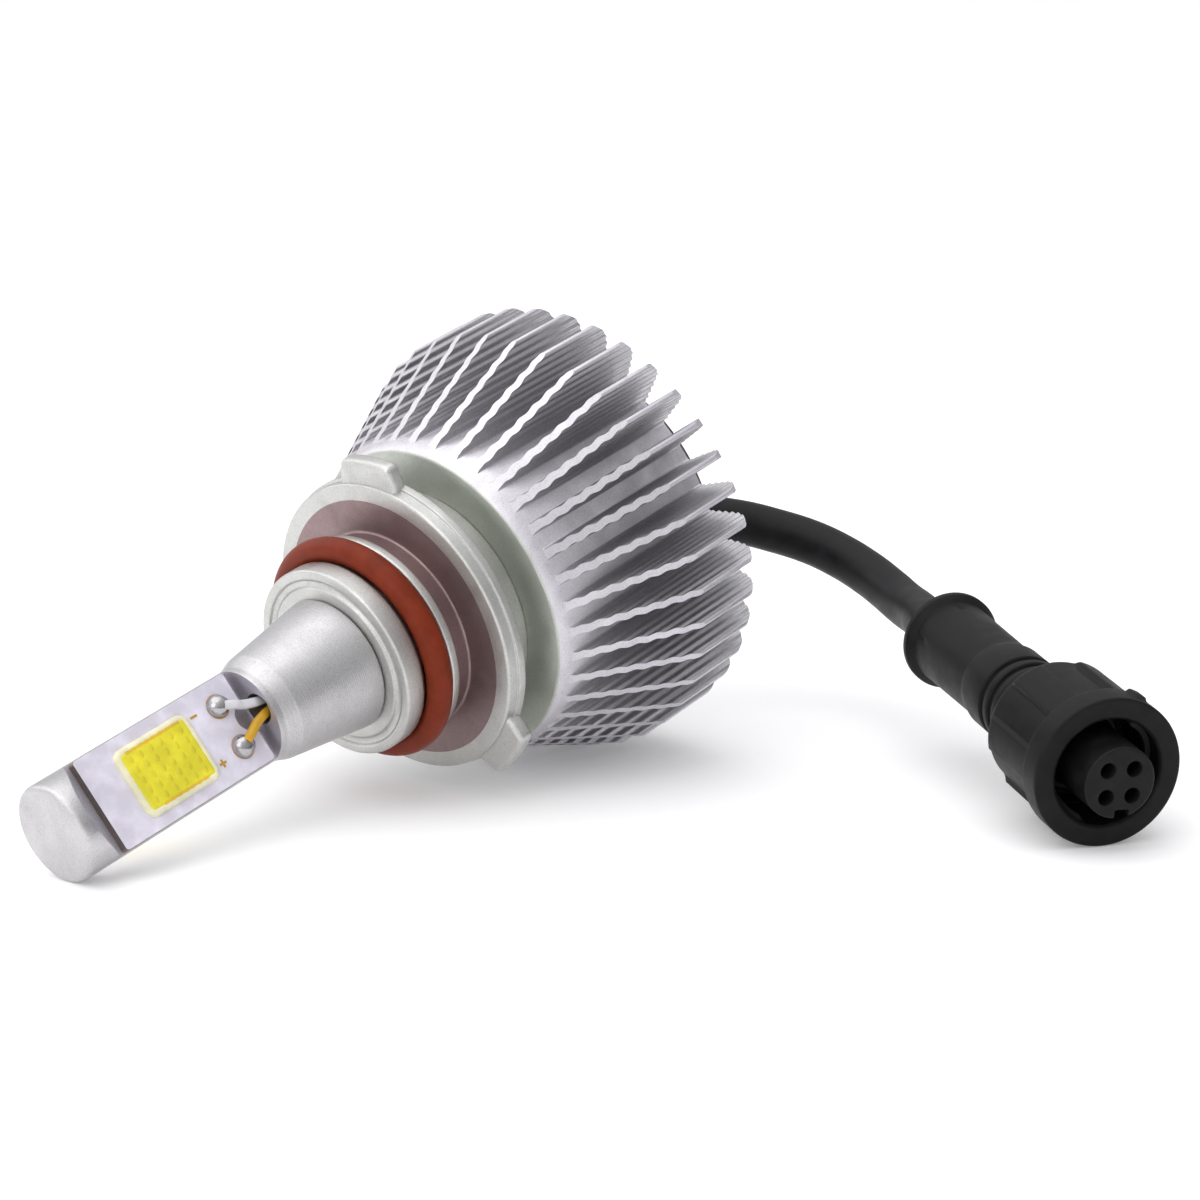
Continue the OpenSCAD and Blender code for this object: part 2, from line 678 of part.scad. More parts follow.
// ---- Cable: free length from the outlet's sleeve to the plug ----
cable_start = lamp_point(polar(outlet_rho, outlet_clock, cover_z + cover_t + sleeve_l));
cable_start_dir = [cos(tilt), 0, sin(tilt)];
cable_end = plug_face + plug_l * plug_dir;
cable_points = [
    [46.6, 9.4, 19.9], [50.3, 8.5, 20.2], [54.4, 6.6, 20.2], [57.4, 4.4, 20], [60.3, 1.4, 19.5],
    [62.6, -2.1, 18.6], [64.1, -6, 17.6], [64.7, -9.5, 16.5], [64.5, -13.7, 15.1],
    [63.4, -17.6, 13.9], [61.8, -21, 13.1], [59.7, -24.5, 12.8], [57, -28.1, 12.6]
];
module cable() {
    route = concat([cable_start], cable_points, [cable_end]);
    color("#202020") swept_tube(route, cable_r, 10, cable_start_dir, -plug_dir, [0, 0, 1]);
}

// ---- Plug ----
shoulder_front = 7.6;
shoulder_back = 9.6;
barrel_end = nut_l + 0.6;
pocket_end_z = 12.2;
spigot_r = 3.5;
spigot_end = barrel_end + 6;
index_bump = 205;

module plug_boot() {
    groove_d = 0.5;
    boot_groove_w = 0.9;
    boot_r = 4.65;
    body_r = 4.35;
    step_z = barrel_end + 11;
    band_r = 5.2;
    band_w = 2.2;
    dimple_z = plug_l - band_w - 1.6;
    grooves = [for (k = [0 : 2]) barrel_end + 1.2 + 1.9 * k];
    profile = concat(
        [[0, spigot_end + press_gap], [spigot_r + press_gap, spigot_end + press_gap],
         [spigot_r + press_gap, barrel_end], [boot_r, barrel_end]],
        [for (z = grooves) each [
            [boot_r, z], [boot_r - groove_d, z + 0.15],
            [boot_r - groove_d, z + boot_groove_w - 0.15], [boot_r, z + boot_groove_w]
        ]],
        [
            [boot_r, step_z - 1.5], [body_r, step_z], [body_r + 0.15, plug_l - band_w - 0.4],
            [band_r - 0.3, plug_l - band_w], [band_r, plug_l - band_w + 0.4]
        ],
        arc(band_r - 1.1, plug_l - 1.1, 1.1, 0, 90, 6),
        [[0, plug_l]]
    );
    color("#232323") in_plug_frame() difference() {
        rotate_extrude() polygon(profile);
        // Small moulding dimples ahead of the end band
        for (a = [30 : 75 : 330]) rotate([0, 0, a])
            translate([body_r + 0.1, 0, dimple_z]) rotate([0, 90, 0])
                cylinder(r = 0.45, h = 0.8, center = true, $fn = 24);
    }
}
module plug_barrel() {
    profile = [
        [insert_r + press_gap, shoulder_front], [nut_bore_r - 0.12, shoulder_front],
        [nut_bore_r - 0.12, shoulder_back], [barrel_r, shoulder_back], [barrel_r, barrel_end],
        [spigot_r, barrel_end], [spigot_r, spigot_end], [0, spigot_end], [0, pocket_end_z],
        [insert_r + press_gap, pocket_end_z]
    ];
    color("#2a2a2b") in_plug_frame() rotate_extrude() polygon(profile);
}
module at_contacts() {
    for (x = [-1, 1], y = [-1, 1]) translate([x, y] * contact_pitch / 2) children();
}
contact_r = contact_hole_r + 0.2;
contact_front = 2.4 - insert_proud;
contact_rear = 11;
module plug_insert() {
    key_w = 1.5;
    key_d = 0.9;
    color("#1c1c1d") in_plug_frame() difference() {
        bore(insert_r, -insert_proud, pocket_end_z - press_gap);
        at_contacts() {
            bore(contact_hole_r, -insert_proud - 1, contact_front + eps);
            bore(contact_r + press_gap, contact_front, contact_rear + 0.1);
        }
        translate([insert_r - key_d, -key_w / 2 - 0.4, -insert_proud - 1])
            cube([key_d + 1, key_w, insert_proud + 6]);
    }
}
module plug_contacts() {
    color("#c9a24a") in_plug_frame() at_contacts() difference() {
        bore(contact_r, contact_front + press_gap, contact_rear);
        bore(contact_hole_r - 0.15, contact_front - 1, contact_rear - 3);
    }
}
module plug_seal() {
    section = 0.5;
    color("#5a2a20") in_plug_frame() translate([0, 0, shoulder_front - section])
        rotate_extrude() translate([insert_r + section, 0]) circle(r = section, $fn = 32);
}
module coupling_nut() {
    ring_w = 3;
    body_r = nut_r - 0.95;
    rib_r = nut_r - 0.45;
    rib_w = 3.6;
    lip_z = shoulder_back + 0.15;
    profile = [
        [nut_bore_r, 0.4], [nut_bore_r + 0.4, 0], [nut_r - 0.5, 0], [nut_r, 0.5], [nut_r, ring_w],
        [body_r, ring_w + 0.3], [body_r, nut_l - 0.6], [body_r - 0.6, nut_l],
        [barrel_r + nut_gap, nut_l], [barrel_r + nut_gap, lip_z], [nut_bore_r, lip_z],
        [nut_bore_r, 4.6], [nut_bore_r - 0.35, 4.35], [nut_bore_r - 0.35, 4.05], [nut_bore_r, 3.8],
        [nut_bore_r, 2.4], [nut_bore_r - 0.35, 2.15], [nut_bore_r - 0.35, 1.85], [nut_bore_r, 1.6]
    ];
    color("#262627") in_plug_frame() union() {
        rotate_extrude() polygon(profile);
        for (k = [0 : 5]) rotate([0, 0, 30 + 60 * k]) intersection() {
            ring(rib_r, body_r - 0.3, ring_w - 0.2, nut_l - 1);
            translate([0, -rib_w / 2, 0]) cube([nut_r + 1, rib_w, nut_l]);
        }
        // Small bump that marks the nut's locked place
        rotate([0, 0, index_bump])
            translate([nut_r - 0.35, 0, 0.9]) cylinder(r = 0.75, h = ring_w - 1.3, $fn = 32);
    }
}

lamp_post();
led_board_front();
led_board_back();
light_field_front();
light_field_back();
solder_joints();
yellow_lead_wires();
white_lead_wires();
socket_base();
sealing_ring();
base_set_screw();
heat_sink();
fan_frame();
fan_rotor();
rotor_magnet();
fan_shaft();
shaft_clip();
shaft_bearing();
stator_core();
stator_coils();
fan_circuit_board();
fan_lead_wires();
fan_screws();
rear_cover();
cable_grommet();
cable_tail();
cable();
plug_boot();
plug_barrel();
plug_insert();
plug_contacts();
plug_seal();
coupling_nut();
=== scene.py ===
"""Looks of an LED headlight bulb with a finned heat sink, a short cable and a four-way plug,
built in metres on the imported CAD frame. Sizes below are in millimetres."""

import json
import math

import bmesh
import bpy
from mathutils import Matrix, Vector, noise


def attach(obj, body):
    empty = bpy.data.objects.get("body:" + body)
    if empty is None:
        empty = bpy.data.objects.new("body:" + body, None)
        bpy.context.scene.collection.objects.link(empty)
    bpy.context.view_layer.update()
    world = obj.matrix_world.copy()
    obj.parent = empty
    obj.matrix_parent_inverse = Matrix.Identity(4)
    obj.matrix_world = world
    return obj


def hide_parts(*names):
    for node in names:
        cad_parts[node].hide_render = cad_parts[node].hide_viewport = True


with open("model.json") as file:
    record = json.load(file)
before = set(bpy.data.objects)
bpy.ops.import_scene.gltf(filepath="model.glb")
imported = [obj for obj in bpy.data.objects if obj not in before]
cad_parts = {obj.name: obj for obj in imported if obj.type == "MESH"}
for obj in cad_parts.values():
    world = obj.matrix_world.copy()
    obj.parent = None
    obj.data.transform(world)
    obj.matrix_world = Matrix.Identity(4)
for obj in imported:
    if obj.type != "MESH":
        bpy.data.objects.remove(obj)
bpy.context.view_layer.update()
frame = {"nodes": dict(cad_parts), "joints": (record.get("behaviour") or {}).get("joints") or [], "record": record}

MM = 0.001
SEGMENTS = 160


# ---- Frames of the lamp and the plug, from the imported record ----
def find(items, name):
    return next(item for item in items if item["name"] == name)


def axes_matrix(origin, z_axis, y_axis):
    """Matrix of a local frame in millimetres, with x = y cross z."""
    z = Vector(z_axis).normalized()
    y = Vector(y_axis).normalized()
    x = y.cross(z)
    turn = Matrix((x, y, z)).transposed().to_4x4()
    return Matrix.Translation(origin) @ turn @ Matrix.Scale(MM, 4)


record = frame["record"]
pilot = find(record["mounts"], "socket_pilot")
nut_joint = find(frame["joints"], "nut_turn")
PILOT_Z = -13.1
lamp_axis = -Vector(pilot["axis"])
lamp_origin = Vector(pilot["pos_m"]) - lamp_axis * PILOT_Z * MM
LAMP = axes_matrix(lamp_origin, lamp_axis, (0, 1, 0))
plug_axis = Vector(nut_joint["axis"])
plug_side = Vector((-plug_axis.y, plug_axis.x, 0))
PLUG = axes_matrix(Vector(nut_joint["pos_m"]), plug_axis, plug_side)


# ---- Camera ----
def make_camera():
    data = bpy.data.cameras.new("camera")
    data.sensor_width = 36
    data.lens = 99
    data.clip_start, data.clip_end = 0.01, 20
    cam = bpy.data.objects.new("camera", data)
    bpy.context.scene.collection.objects.link(cam)
    cam.location = (-0.221041, -0.231450, 0.089838)
    forward = Vector((0.725514, 0.654574, -0.212514))
    cam.rotation_mode = "QUATERNION"
    cam.rotation_quaternion = forward.to_track_quat("-Z", "Y")
    bpy.context.scene.camera = cam


make_camera()


# ---- Mesh helpers ----
def new_object(name, data, matrix, body="bulb", nodes=(), material=None):
    """Links a piece whose data is in the millimetres of a local frame, and puts it in the row frame."""
    data.transform(matrix)
    obj = bpy.data.objects.new(name, data)
    bpy.context.scene.collection.objects.link(obj)
    if material:
        data.materials.append(material)
    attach(obj, body)
    if nodes:
        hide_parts(*nodes)
    return obj


def finish_mesh(name, bm, sharp_angle=40):
    """Turns a bmesh into a smooth-shaded mesh with sharp edges above an angle in degrees."""
    bmesh.ops.remove_doubles(bm, verts=bm.verts, dist=1e-5)
    bmesh.ops.recalc_face_normals(bm, faces=bm.faces)
    mesh = bpy.data.meshes.new(name)
    bm.to_mesh(mesh)
    bm.free()
    mesh.shade_smooth()
    mesh.set_sharp_from_angle(angle=math.radians(sharp_angle))
    return mesh


def add_bevel(obj, width, segments=2, angle=35):
    bevel = obj.modifiers.new("edge", "BEVEL")
    bevel.width = width * MM
    bevel.segments = segments
    bevel.limit_method = "ANGLE"
    bevel.angle_limit = math.radians(angle)
    bevel.use_clamp_overlap = True
    normals = obj.modifiers.new("normals", "WEIGHTED_NORMAL")
    normals.keep_sharp = False


def rounded(profile, radius, steps=4):
    """Rounds the corners of a closed polygon of (r, z) points; points on the axis stay sharp."""
    out = []
    count = len(profile)
    for i, corner in enumerate(profile):
        p = Vector(corner)
        a = Vector(profile[i - 1]) - p
        b = Vector(profile[(i + 1) % count]) - p
        if p.x < 1e-6 or a.length < 1e-6 or b.length < 1e-6:
            out.append(tuple(p))
            continue
        turn = a.angle(b)
        if turn > math.radians(168):
            out.append(tuple(p))
            continue
        cut = min(radius / math.tan(turn / 2), 0.45 * a.length, 0.45 * b.length)
        start, end = p + a.normalized() * cut, p + b.normalized() * cut
        for k in range(steps + 1):
            t = k / steps
            out.append(tuple((1 - t) ** 2 * start + 2 * t * (1 - t) * p + t * t * end))
    return out


def lathe_into(bm, profile, segments=SEGMENTS, closed=True, radius_at=None):
    """Adds a turned shell to bm. radius_at(r, z, angle) may shift a point's radius."""
    rings = []
    for r, z in profile:
        if r < 1e-6:
            rings.append([bm.verts.new((0, 0, z))])
            continue
        ring = []
        for k in range(segments):
            a = math.tau * k / segments
            rr = radius_at(r, z, a) if radius_at else r
            ring.append(bm.verts.new((rr * math.cos(a), rr * math.sin(a), z)))
        rings.append(ring)
    following = rings[1:] + rings[:1] if closed else rings[1:]
    for p, q in zip(rings, following):
        if len(p) == 1 and len(q) == 1:
            continue
        for k in range(segments):
            n = (k + 1) % segments
            if len(p) == 1:
                bm.faces.new((p[0], q[k], q[n]))
            elif len(q) == 1:
                bm.faces.new((p[k], p[n], q[0]))
            else:
                bm.faces.new((p[k], p[n], q[n], q[k]))


def prism_into(bm, outline, z0, z1, matrix=Matrix()):
    """Adds a closed prism over a list of (x, y) points."""
    low = [bm.verts.new(matrix @ Vector((x, y, z0))) for x, y in outline]
    high = [bm.verts.new(matrix @ Vector((x, y, z1))) for x, y in outline]
    bm.faces.new(low[::-1])
    bm.faces.new(high)
    count = len(outline)
    for k in range(count):
        n = (k + 1) % count
        bm.faces.new((low[k], low[n], high[n], high[k]))


def rounded_box(x0, y0, x1, y1, r, steps=5):
    """Outline of a rectangle with rounded corners."""
    out = []
    corners = ((x1 - r, y1 - r, 0), (x0 + r, y1 - r, 90), (x0 + r, y0 + r, 180), (x1 - r, y0 + r, 270))
    for cx, cy, a0 in corners:
        for k in range(steps + 1):
            a = math.radians(a0 + 90 * k / steps)
            out.append((cx + r * math.cos(a), cy + r * math.sin(a)))
    return out


def tube_curve(name, points, radius, bevel_steps=6):
    """Smooth tube along points, as one open Bezier spline."""
    curve = bpy.data.curves.new(name, "CURVE")
    curve.dimensions = "3D"
    curve.bevel_depth = radius
    curve.bevel_resolution = bevel_steps
    curve.use_fill_caps = True
    curve.resolution_u = 8
    spline = curve.splines.new("BEZIER")
    spline.bezier_points.add(len(points) - 1)
    for bez, p in zip(spline.bezier_points, points):
        bez.co = p
        bez.handle_left_type = bez.handle_right_type = "AUTO"
    return curve


# ---- Materials: procedural, on each object's own coordinates in millimetres ----
class Surface:
    """One Principled material whose colour, roughness and bump come from procedural textures,
    placed by the millimetres of a local frame."""

    def __init__(self, name, color, roughness, metallic=0.0, local=LAMP):
        self.mat = bpy.data.materials.new(name)
        self.mat.use_nodes = True
        self.tree = self.mat.node_tree
        self.shader = self.tree.nodes["Principled BSDF"]
        self.color = (*color, 1)
        self.set("Base Color", self.color)
        self.set("Roughness", roughness)
        self.set("Metallic", metallic)
        mapping = self.node("Mapping", vector_type="TEXTURE")
        mapping.inputs["Location"].default_value = local.to_translation()
        mapping.inputs["Rotation"].default_value = local.to_euler()
        mapping.inputs["Scale"].default_value = local.to_scale()
        self.link(self.node("TexCoord").outputs["Object"], mapping.inputs["Vector"])
        self.place = mapping.outputs["Vector"]
        self.last_bump = None

    def node(self, kind, **settings):
        made = self.tree.nodes.new("ShaderNode" + kind)
        for key, value in settings.items():
            setattr(made, key, value)
        return made

    def set(self, socket, value):
        self.shader.inputs[socket].default_value = value

    def link(self, out, target):
        self.tree.links.new(out, target)

    def stretched(self, scale, vector=None):
        mapping = self.node("Mapping")
        mapping.inputs["Scale"].default_value = scale
        self.link(vector or self.place, mapping.inputs["Vector"])
        return mapping.outputs["Vector"]

    def noise(self, scale, detail=3.0, stretch=None, distortion=0.0):
        tex = self.node("TexNoise")
        tex.inputs["Scale"].default_value = scale
        tex.inputs["Detail"].default_value = detail
        tex.inputs["Distortion"].default_value = distortion
        self.link(self.stretched(stretch) if stretch else self.place, tex.inputs["Vector"])
        return tex.outputs["Fac"]

    def ranged(self, value, low, high, low_in=0.3, high_in=0.7):
        mapped = self.node("MapRange")
        self.link(value, mapped.inputs["Value"])
        for socket, number in zip(("From Min", "From Max", "To Min", "To Max"), (low_in, high_in, low, high)):
            mapped.inputs[socket].default_value = number
        return mapped.outputs["Result"]

    def vary_roughness(self, value, low, high, low_in=0.3, high_in=0.7):
        self.link(self.ranged(value, low, high, low_in, high_in), self.shader.inputs["Roughness"])
        return self

    def vary_color(self, value, other, low_in=0.35, high_in=0.65):
        """Mixes towards another colour where value is high; calls stack."""
        mix = self.node("Mix", data_type="RGBA")
        self.link(self.ranged(value, 0, 1, low_in, high_in), mix.inputs["Factor"])
        source = self.shader.inputs["Base Color"]
        if source.is_linked:
            self.link(source.links[0].from_socket, mix.inputs["A"])
        else:
            mix.inputs["A"].default_value = self.color
        mix.inputs["B"].default_value = (*other, 1)
        self.link(mix.outputs["Result"], source)
        return self

    def bump(self, value, height_mm, strength=1.0):
        bump = self.node("Bump")
        bump.inputs["Strength"].default_value = strength
        bump.inputs["Distance"].default_value = height_mm * MM
        self.link(value, bump.inputs["Height"])
        if self.last_bump:
            self.link(self.last_bump, bump.inputs["Normal"])
        self.last_bump = bump.outputs["Normal"]
        self.link(self.last_bump, self.shader.inputs["Normal"])
        return self


def turned_metal(name, color, roughness, grain=0.018, local=LAMP, metallic=1.0):
    """Turned and lightly blasted alloy: fine grooves round the axis, grain and cloudy stains."""
    s = Surface(name, color, roughness, metallic, local)
    speckle = s.noise(9, 4)
    cloud = s.noise(0.35, 3, distortion=0.6)
    s.vary_color(cloud, tuple(0.92 * c for c in color))
    s.vary_color(speckle, tuple(min(1, 1.15 * c) for c in color), 0.5, 0.7)
    s.vary_color(s.noise(5, 2), tuple(0.8 * c for c in color), 0.55, 0.75)
    s.vary_roughness(cloud, roughness - 0.06, roughness + 0.1)
    s.bump(speckle, grain)
    s.bump(s.noise(1.2, 2, stretch=(0.4, 0.4, 14)), grain)
    return s.mat


def plastic(name, color, roughness, grain=0.01, local=LAMP, fine=14, specular=0.45):
    """Plastic, rubber or paint: fine grain, faint gloss changes and dust-like lighter patches."""
    s = Surface(name, color, roughness, local=local)
    s.set("Specular IOR Level", specular)
    grains = s.noise(fine, 3)
    cloud = s.noise(0.5, 3)
    s.vary_color(cloud, tuple(1.3 * c + 0.003 for c in color), 0.4, 0.75)
    s.vary_roughness(cloud, roughness - 0.06, roughness + 0.08)
    s.bump(grains, grain)
    return s.mat


# ---- Dimensions: as in the CAD source, except the light field, which is drawn slightly larger ----
POST_R, TIP_REACH, TIP_ROUND, FLAT_H, CUTTER_R, TIP_LAND = 5.0, 51.7, 0.7, 1.2, 5.8, 1.35
SHOULDER_Z, NECK_FRONT_R, NECK_REAR_R, COLLAR_Z = 27.2, 5.6, 7.05, 14.8
WIRE_BORE_R, WIRE_BORE_H = 1.6, 3.0
BOARD_CLOCK = 239
BOARD_L, BOARD_W, BOARD_T, BOARD_GAP = 19.2, 9.6, 1.0, 0.8
FIELD_L, FIELD_W, FIELD_T, FIELD_START = 8.6, 6.5, 0.45, 4.1
SOLDER_R, SOLDER_PITCH, SOLDER_FROM_REAR, LEAD_R = 1.15, 4.5, 2.5, 0.45
SINK_R, CORE_R, SINK_FACE_R, SINK_L, CONE_L, REAR_ROUND = 23.4, 17.0, 16.4, 24.2, 14.6, 3.0
FIN_N, FIN_TIP_T, FIN_ROOT_T, RIPPLE_PITCH, RIPPLE_H = 38, 0.65, 0.9, 0.88, 0.18
RECESS_R, RECESS_FLOOR = 15.4, 13.2
NUT_R, NUT_L, NUT_BORE_R, BARREL_R, NUT_GAP, PLUG_L = 7.55, 13.5, 5.3, 4.7, 0.06, 39.5
INSERT_R, INSERT_PROUD, CONTACT_PITCH, CONTACT_HOLE_R, INDEX_BUMP = 3.6, 2.6, 2.7, 0.75, 205
CABLE_R, OUTLET_RHO, OUTLET_CLOCK, SLEEVE_END = 2.5, 12.7, 50, 30.7


def polar(r, degrees, z):
    a = math.radians(degrees)
    return Vector((r * math.cos(a), r * math.sin(a), z))


# ---- Cable: repeats the route of the CAD's free cable ----
CABLE_POINTS = [
    (46.6, 9.4, 19.9), (50.3, 8.5, 20.2), (54.4, 6.6, 20.2), (57.4, 4.4, 20), (60.3, 1.4, 19.5),
    (62.6, -2.1, 18.6), (64.1, -6, 17.6), (64.7, -9.5, 16.5), (64.5, -13.7, 15.1),
    (63.4, -17.6, 13.9), (61.8, -21, 13.1), (59.7, -24.5, 12.8), (57, -28.1, 12.6),
]


def make_cable(material):
    start = LAMP @ polar(OUTLET_RHO, OUTLET_CLOCK, SLEEVE_END)
    end = PLUG @ Vector((0, 0, PLUG_L))
    points = [start] + [Vector(p) * MM for p in CABLE_POINTS] + [end]
    curve = tube_curve("cable_jacket", points, CABLE_R * MM, 10)
    first, last = curve.splines[0].bezier_points[0], curve.splines[0].bezier_points[-1]
    reach = (points[1] - points[0]).length / 3
    for bez, direction in ((first, lamp_axis), (last, -plug_axis)):
        bez.handle_left_type = bez.handle_right_type = "FREE"
        bez.handle_left = bez.co - direction * reach
        bez.handle_right = bez.co + direction * reach
    curve.materials.append(material)
    obj = bpy.data.objects.new("cable_jacket", curve)
    bpy.context.scene.collection.objects.link(obj)
    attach(obj, "bulb")
    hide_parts("cable")
    return obj, start


# ---- Heat sink: rippled fins on a round core, turned to a cone in front ----
def front_z(r):
    return max(0.0, (r - SINK_FACE_R) / (SINK_R - SINK_FACE_R) * CONE_L)


def rear_z(r):
    over = max(0.0, r - (SINK_R - REAR_ROUND))
    return SINK_L - REAR_ROUND + math.sqrt(max(0.0, REAR_ROUND**2 - over**2))


def fin_sides():
    """Points (radius, left offset, right offset) up one fin, from its root to its tip."""
    fillet = 0.18
    sides = [(CORE_R, FIN_ROOT_T / 2 + fillet)]
    steps = 62
    top = SINK_R - FIN_TIP_T / 2
    for k in range(1, steps + 1):
        r = CORE_R + (top - CORE_R) * k / steps
        half = (FIN_ROOT_T + (FIN_TIP_T - FIN_ROOT_T) * (r - CORE_R) / (SINK_R - CORE_R)) / 2
        half += fillet * max(0.0, 1 - (r - CORE_R) / 0.3) ** 2
        sides.append((r, half))
    out = []
    for r, half in sides:
        grow = min(1.0, max(0.0, (r - CORE_R - 0.25) / 0.3)) * min(1.0, max(0.0, (top - r) / 0.25))
        shift = -RIPPLE_H / 2 * grow * math.cos(math.tau * (r - CORE_R - 0.5) / RIPPLE_PITCH)
        out.append((r, shift - half, shift + half))
    for a in (25, 50, 70):
        half = FIN_TIP_T / 2 * math.cos(math.radians(a))
        out.append((top + FIN_TIP_T / 2 * math.sin(math.radians(a)), -half, half))
    return out


def make_heat_sink(fin_side, cut_face, hub_face):
    """Each fin is a strip across its thickness, lifted onto the cone in front and the round behind."""
    bm = bmesh.new()
    sides = fin_sides()
    step = math.tau / FIN_N
    core_ring = []

    def columns(x, y):
        r = math.hypot(x, y)
        return bm.verts.new((x, y, front_z(r))), bm.verts.new((x, y, rear_z(r)))

    def wall(p, q):
        bm.faces.new((p[0], q[0], q[1], p[1]))

    def across(p, q, a, b):
        for end in (0, 1):
            bm.faces.new((p[end], q[end], b[end], a[end]))

    for k in range(FIN_N):
        turn = Matrix.Rotation(k * step, 2)
        burr = [0.035 * noise.noise((r * 2.1, k * 7.3, 0)) for r, _, _ in sides]
        left = [columns(*(turn @ Vector((r, a + n)))) for (r, a, _), n in zip(sides, burr)]
        right = [columns(*(turn @ Vector((r, b + n)))) for (r, _, b), n in zip(sides, burr)]
        for i in range(len(sides) - 1):
            wall(left[i + 1], left[i])
            wall(right[i], right[i + 1])
            across(left[i], left[i + 1], right[i], right[i + 1])
        wall(right[-1], left[-1])
        floor_a = k * step + math.atan2(sides[0][2], sides[0][0])
        floor_b = (k + 1) * step + math.atan2(sides[0][1], sides[0][0])
        floor = [
            columns(CORE_R * math.cos(floor_a + (floor_b - floor_a) * t / 5),
                    CORE_R * math.sin(floor_a + (floor_b - floor_a) * t / 5))
            for t in range(1, 5)
        ]
        core_ring += [left[0], right[0], *floor]
        for p, q in zip([right[0], *floor], floor):
            wall(p, q)
        if k:
            wall(previous, left[0])
        previous = floor[-1]
        first = left[0] if k == 0 else first
    wall(previous, first)
    inner = [[v[0] for v in core_ring]]
    for r, z in ((SINK_FACE_R + 0.12, 0.16), (SINK_FACE_R - 0.1, 0), (6, 0), (6, RECESS_FLOOR),
                 (RECESS_R, RECESS_FLOOR), (RECESS_R, SINK_L)):
        ring = []
        for v in core_ring:
            a = math.atan2(v[0].co.y, v[0].co.x)
            ring.append(bm.verts.new((r * math.cos(a), r * math.sin(a), z)))
        inner.append(ring)
    inner.append([v[1] for v in core_ring])
    count = len(core_ring)
    for p, q in zip(inner, inner[1:]):
        for k in range(count):
            n = (k + 1) % count
            bm.faces.new((p[k], p[n], q[n], q[k]))
    bm.normal_update()
    for face in bm.faces:
        r = face.calc_center_median().xy.length
        if r < SINK_FACE_R + 0.12:
            face.material_index = 2
        elif abs(face.normal.z) > 0.3 or r < CORE_R + 0.1 or r > SINK_R - FIN_TIP_T / 2 + 0.02:
            face.material_index = 1
    mesh = finish_mesh("finned_heat_sink", bm, 38)
    for material in (fin_side, cut_face, hub_face):
        mesh.materials.append(material)
    return new_object("finned_heat_sink", mesh, LAMP, nodes=["heat_sink"])


# ---- Lamp post: turned bar, two milled flats with wire bores, conical neck ----
def cutter(name, matrix, build):
    """A mesh that only cuts another piece; it is removed once the cut is applied."""
    bm = bmesh.new()
    build(bm)
    mesh = finish_mesh(name, bm)
    mesh.transform(matrix)
    obj = bpy.data.objects.new(name, mesh)
    bpy.context.scene.collection.objects.link(obj)
    return obj


def cut(obj, *cutters):
    """Applies boolean differences to obj's mesh and removes the cutters."""
    for tool in cutters:
        boolean = obj.modifiers.new("cut", "BOOLEAN")
        boolean.operation = "DIFFERENCE"
        boolean.solver = "EXACT"
        boolean.object = tool
    bpy.context.view_layer.update()
    graph = bpy.context.evaluated_depsgraph_get()
    mesh = bpy.data.meshes.new_from_object(obj.evaluated_get(graph))
    obj.modifiers.clear()
    old = obj.data
    obj.data = mesh
    bpy.data.meshes.remove(old)
    for tool in cutters:
        bpy.data.meshes.remove(tool.data)


def flat_outline():
    """Outline of one milled flat seen from above it: (z, across), with its round front end."""
    centre = -TIP_REACH + TIP_LAND + CUTTER_R
    front = []
    for k in range(33):
        a = math.radians(90 + 180 * k / 32)
        front.append((centre + CUTTER_R * math.cos(a), CUTTER_R * math.sin(a)))
    return front + [(-SHOULDER_Z, -CUTTER_R), (-SHOULDER_Z, CUTTER_R)]


def make_post(turned, milled):
    neck_start = -SHOULDER_Z + 0.8
    profile = [
        (0, -TIP_REACH), (POST_R, -TIP_REACH), (POST_R, neck_start),
        (NECK_FRONT_R, neck_start + 1.6), (NECK_REAR_R, -COLLAR_Z), (6, -COLLAR_Z), (6, 12.8), (0, 12.8),
    ]
    bm = bmesh.new()
    lathe_into(bm, rounded(profile, TIP_ROUND, 6), 192)
    mesh = finish_mesh("turned_post", bm)
    turn = Matrix.Rotation(math.radians(BOARD_CLOCK), 4, "Z")
    local = LAMP @ turn
    post = new_object("turned_post", mesh, local, nodes=["lamp_post"])

    def pocket(side):
        # Prism axes: x along the lamp, y across, height outwards from the flat
        lay = Matrix(((0, 0, side, 0), (0, 1, 0, 0), (1, 0, 0, 0), (0, 0, 0, 1)))
        return cutter("pocket_cutter", local, lambda bm: prism_into(bm, flat_outline(), FLAT_H, 9, lay))

    def bore(side):
        def build(bm):
            place = Matrix.Translation((side * WIRE_BORE_H, 0, -SHOULDER_Z - 1))
            bmesh.ops.create_cone(bm, segments=48, radius1=WIRE_BORE_R, radius2=WIRE_BORE_R,
                                  depth=60, cap_ends=True, matrix=place @ Matrix.Translation((0, 0, 30)))
        return cutter("bore_cutter", local, build)

    cut(post, *(make(side) for make in (pocket, bore) for side in (1, -1)))
    post.data.materials.clear()
    post.data.materials.append(turned)
    post.data.materials.append(milled)
    post.data.shade_smooth()
    to_lamp = LAMP.inverted()
    for face in post.data.polygons:
        centre = to_lamp @ face.center
        on_flat = centre.z < -SHOULDER_Z + 0.1 and centre.xy.length < POST_R - 0.15
        face.material_index = int(on_flat and centre.z > -TIP_REACH + 0.2)
    add_bevel(post, 0.12, 3, 40)
    return post


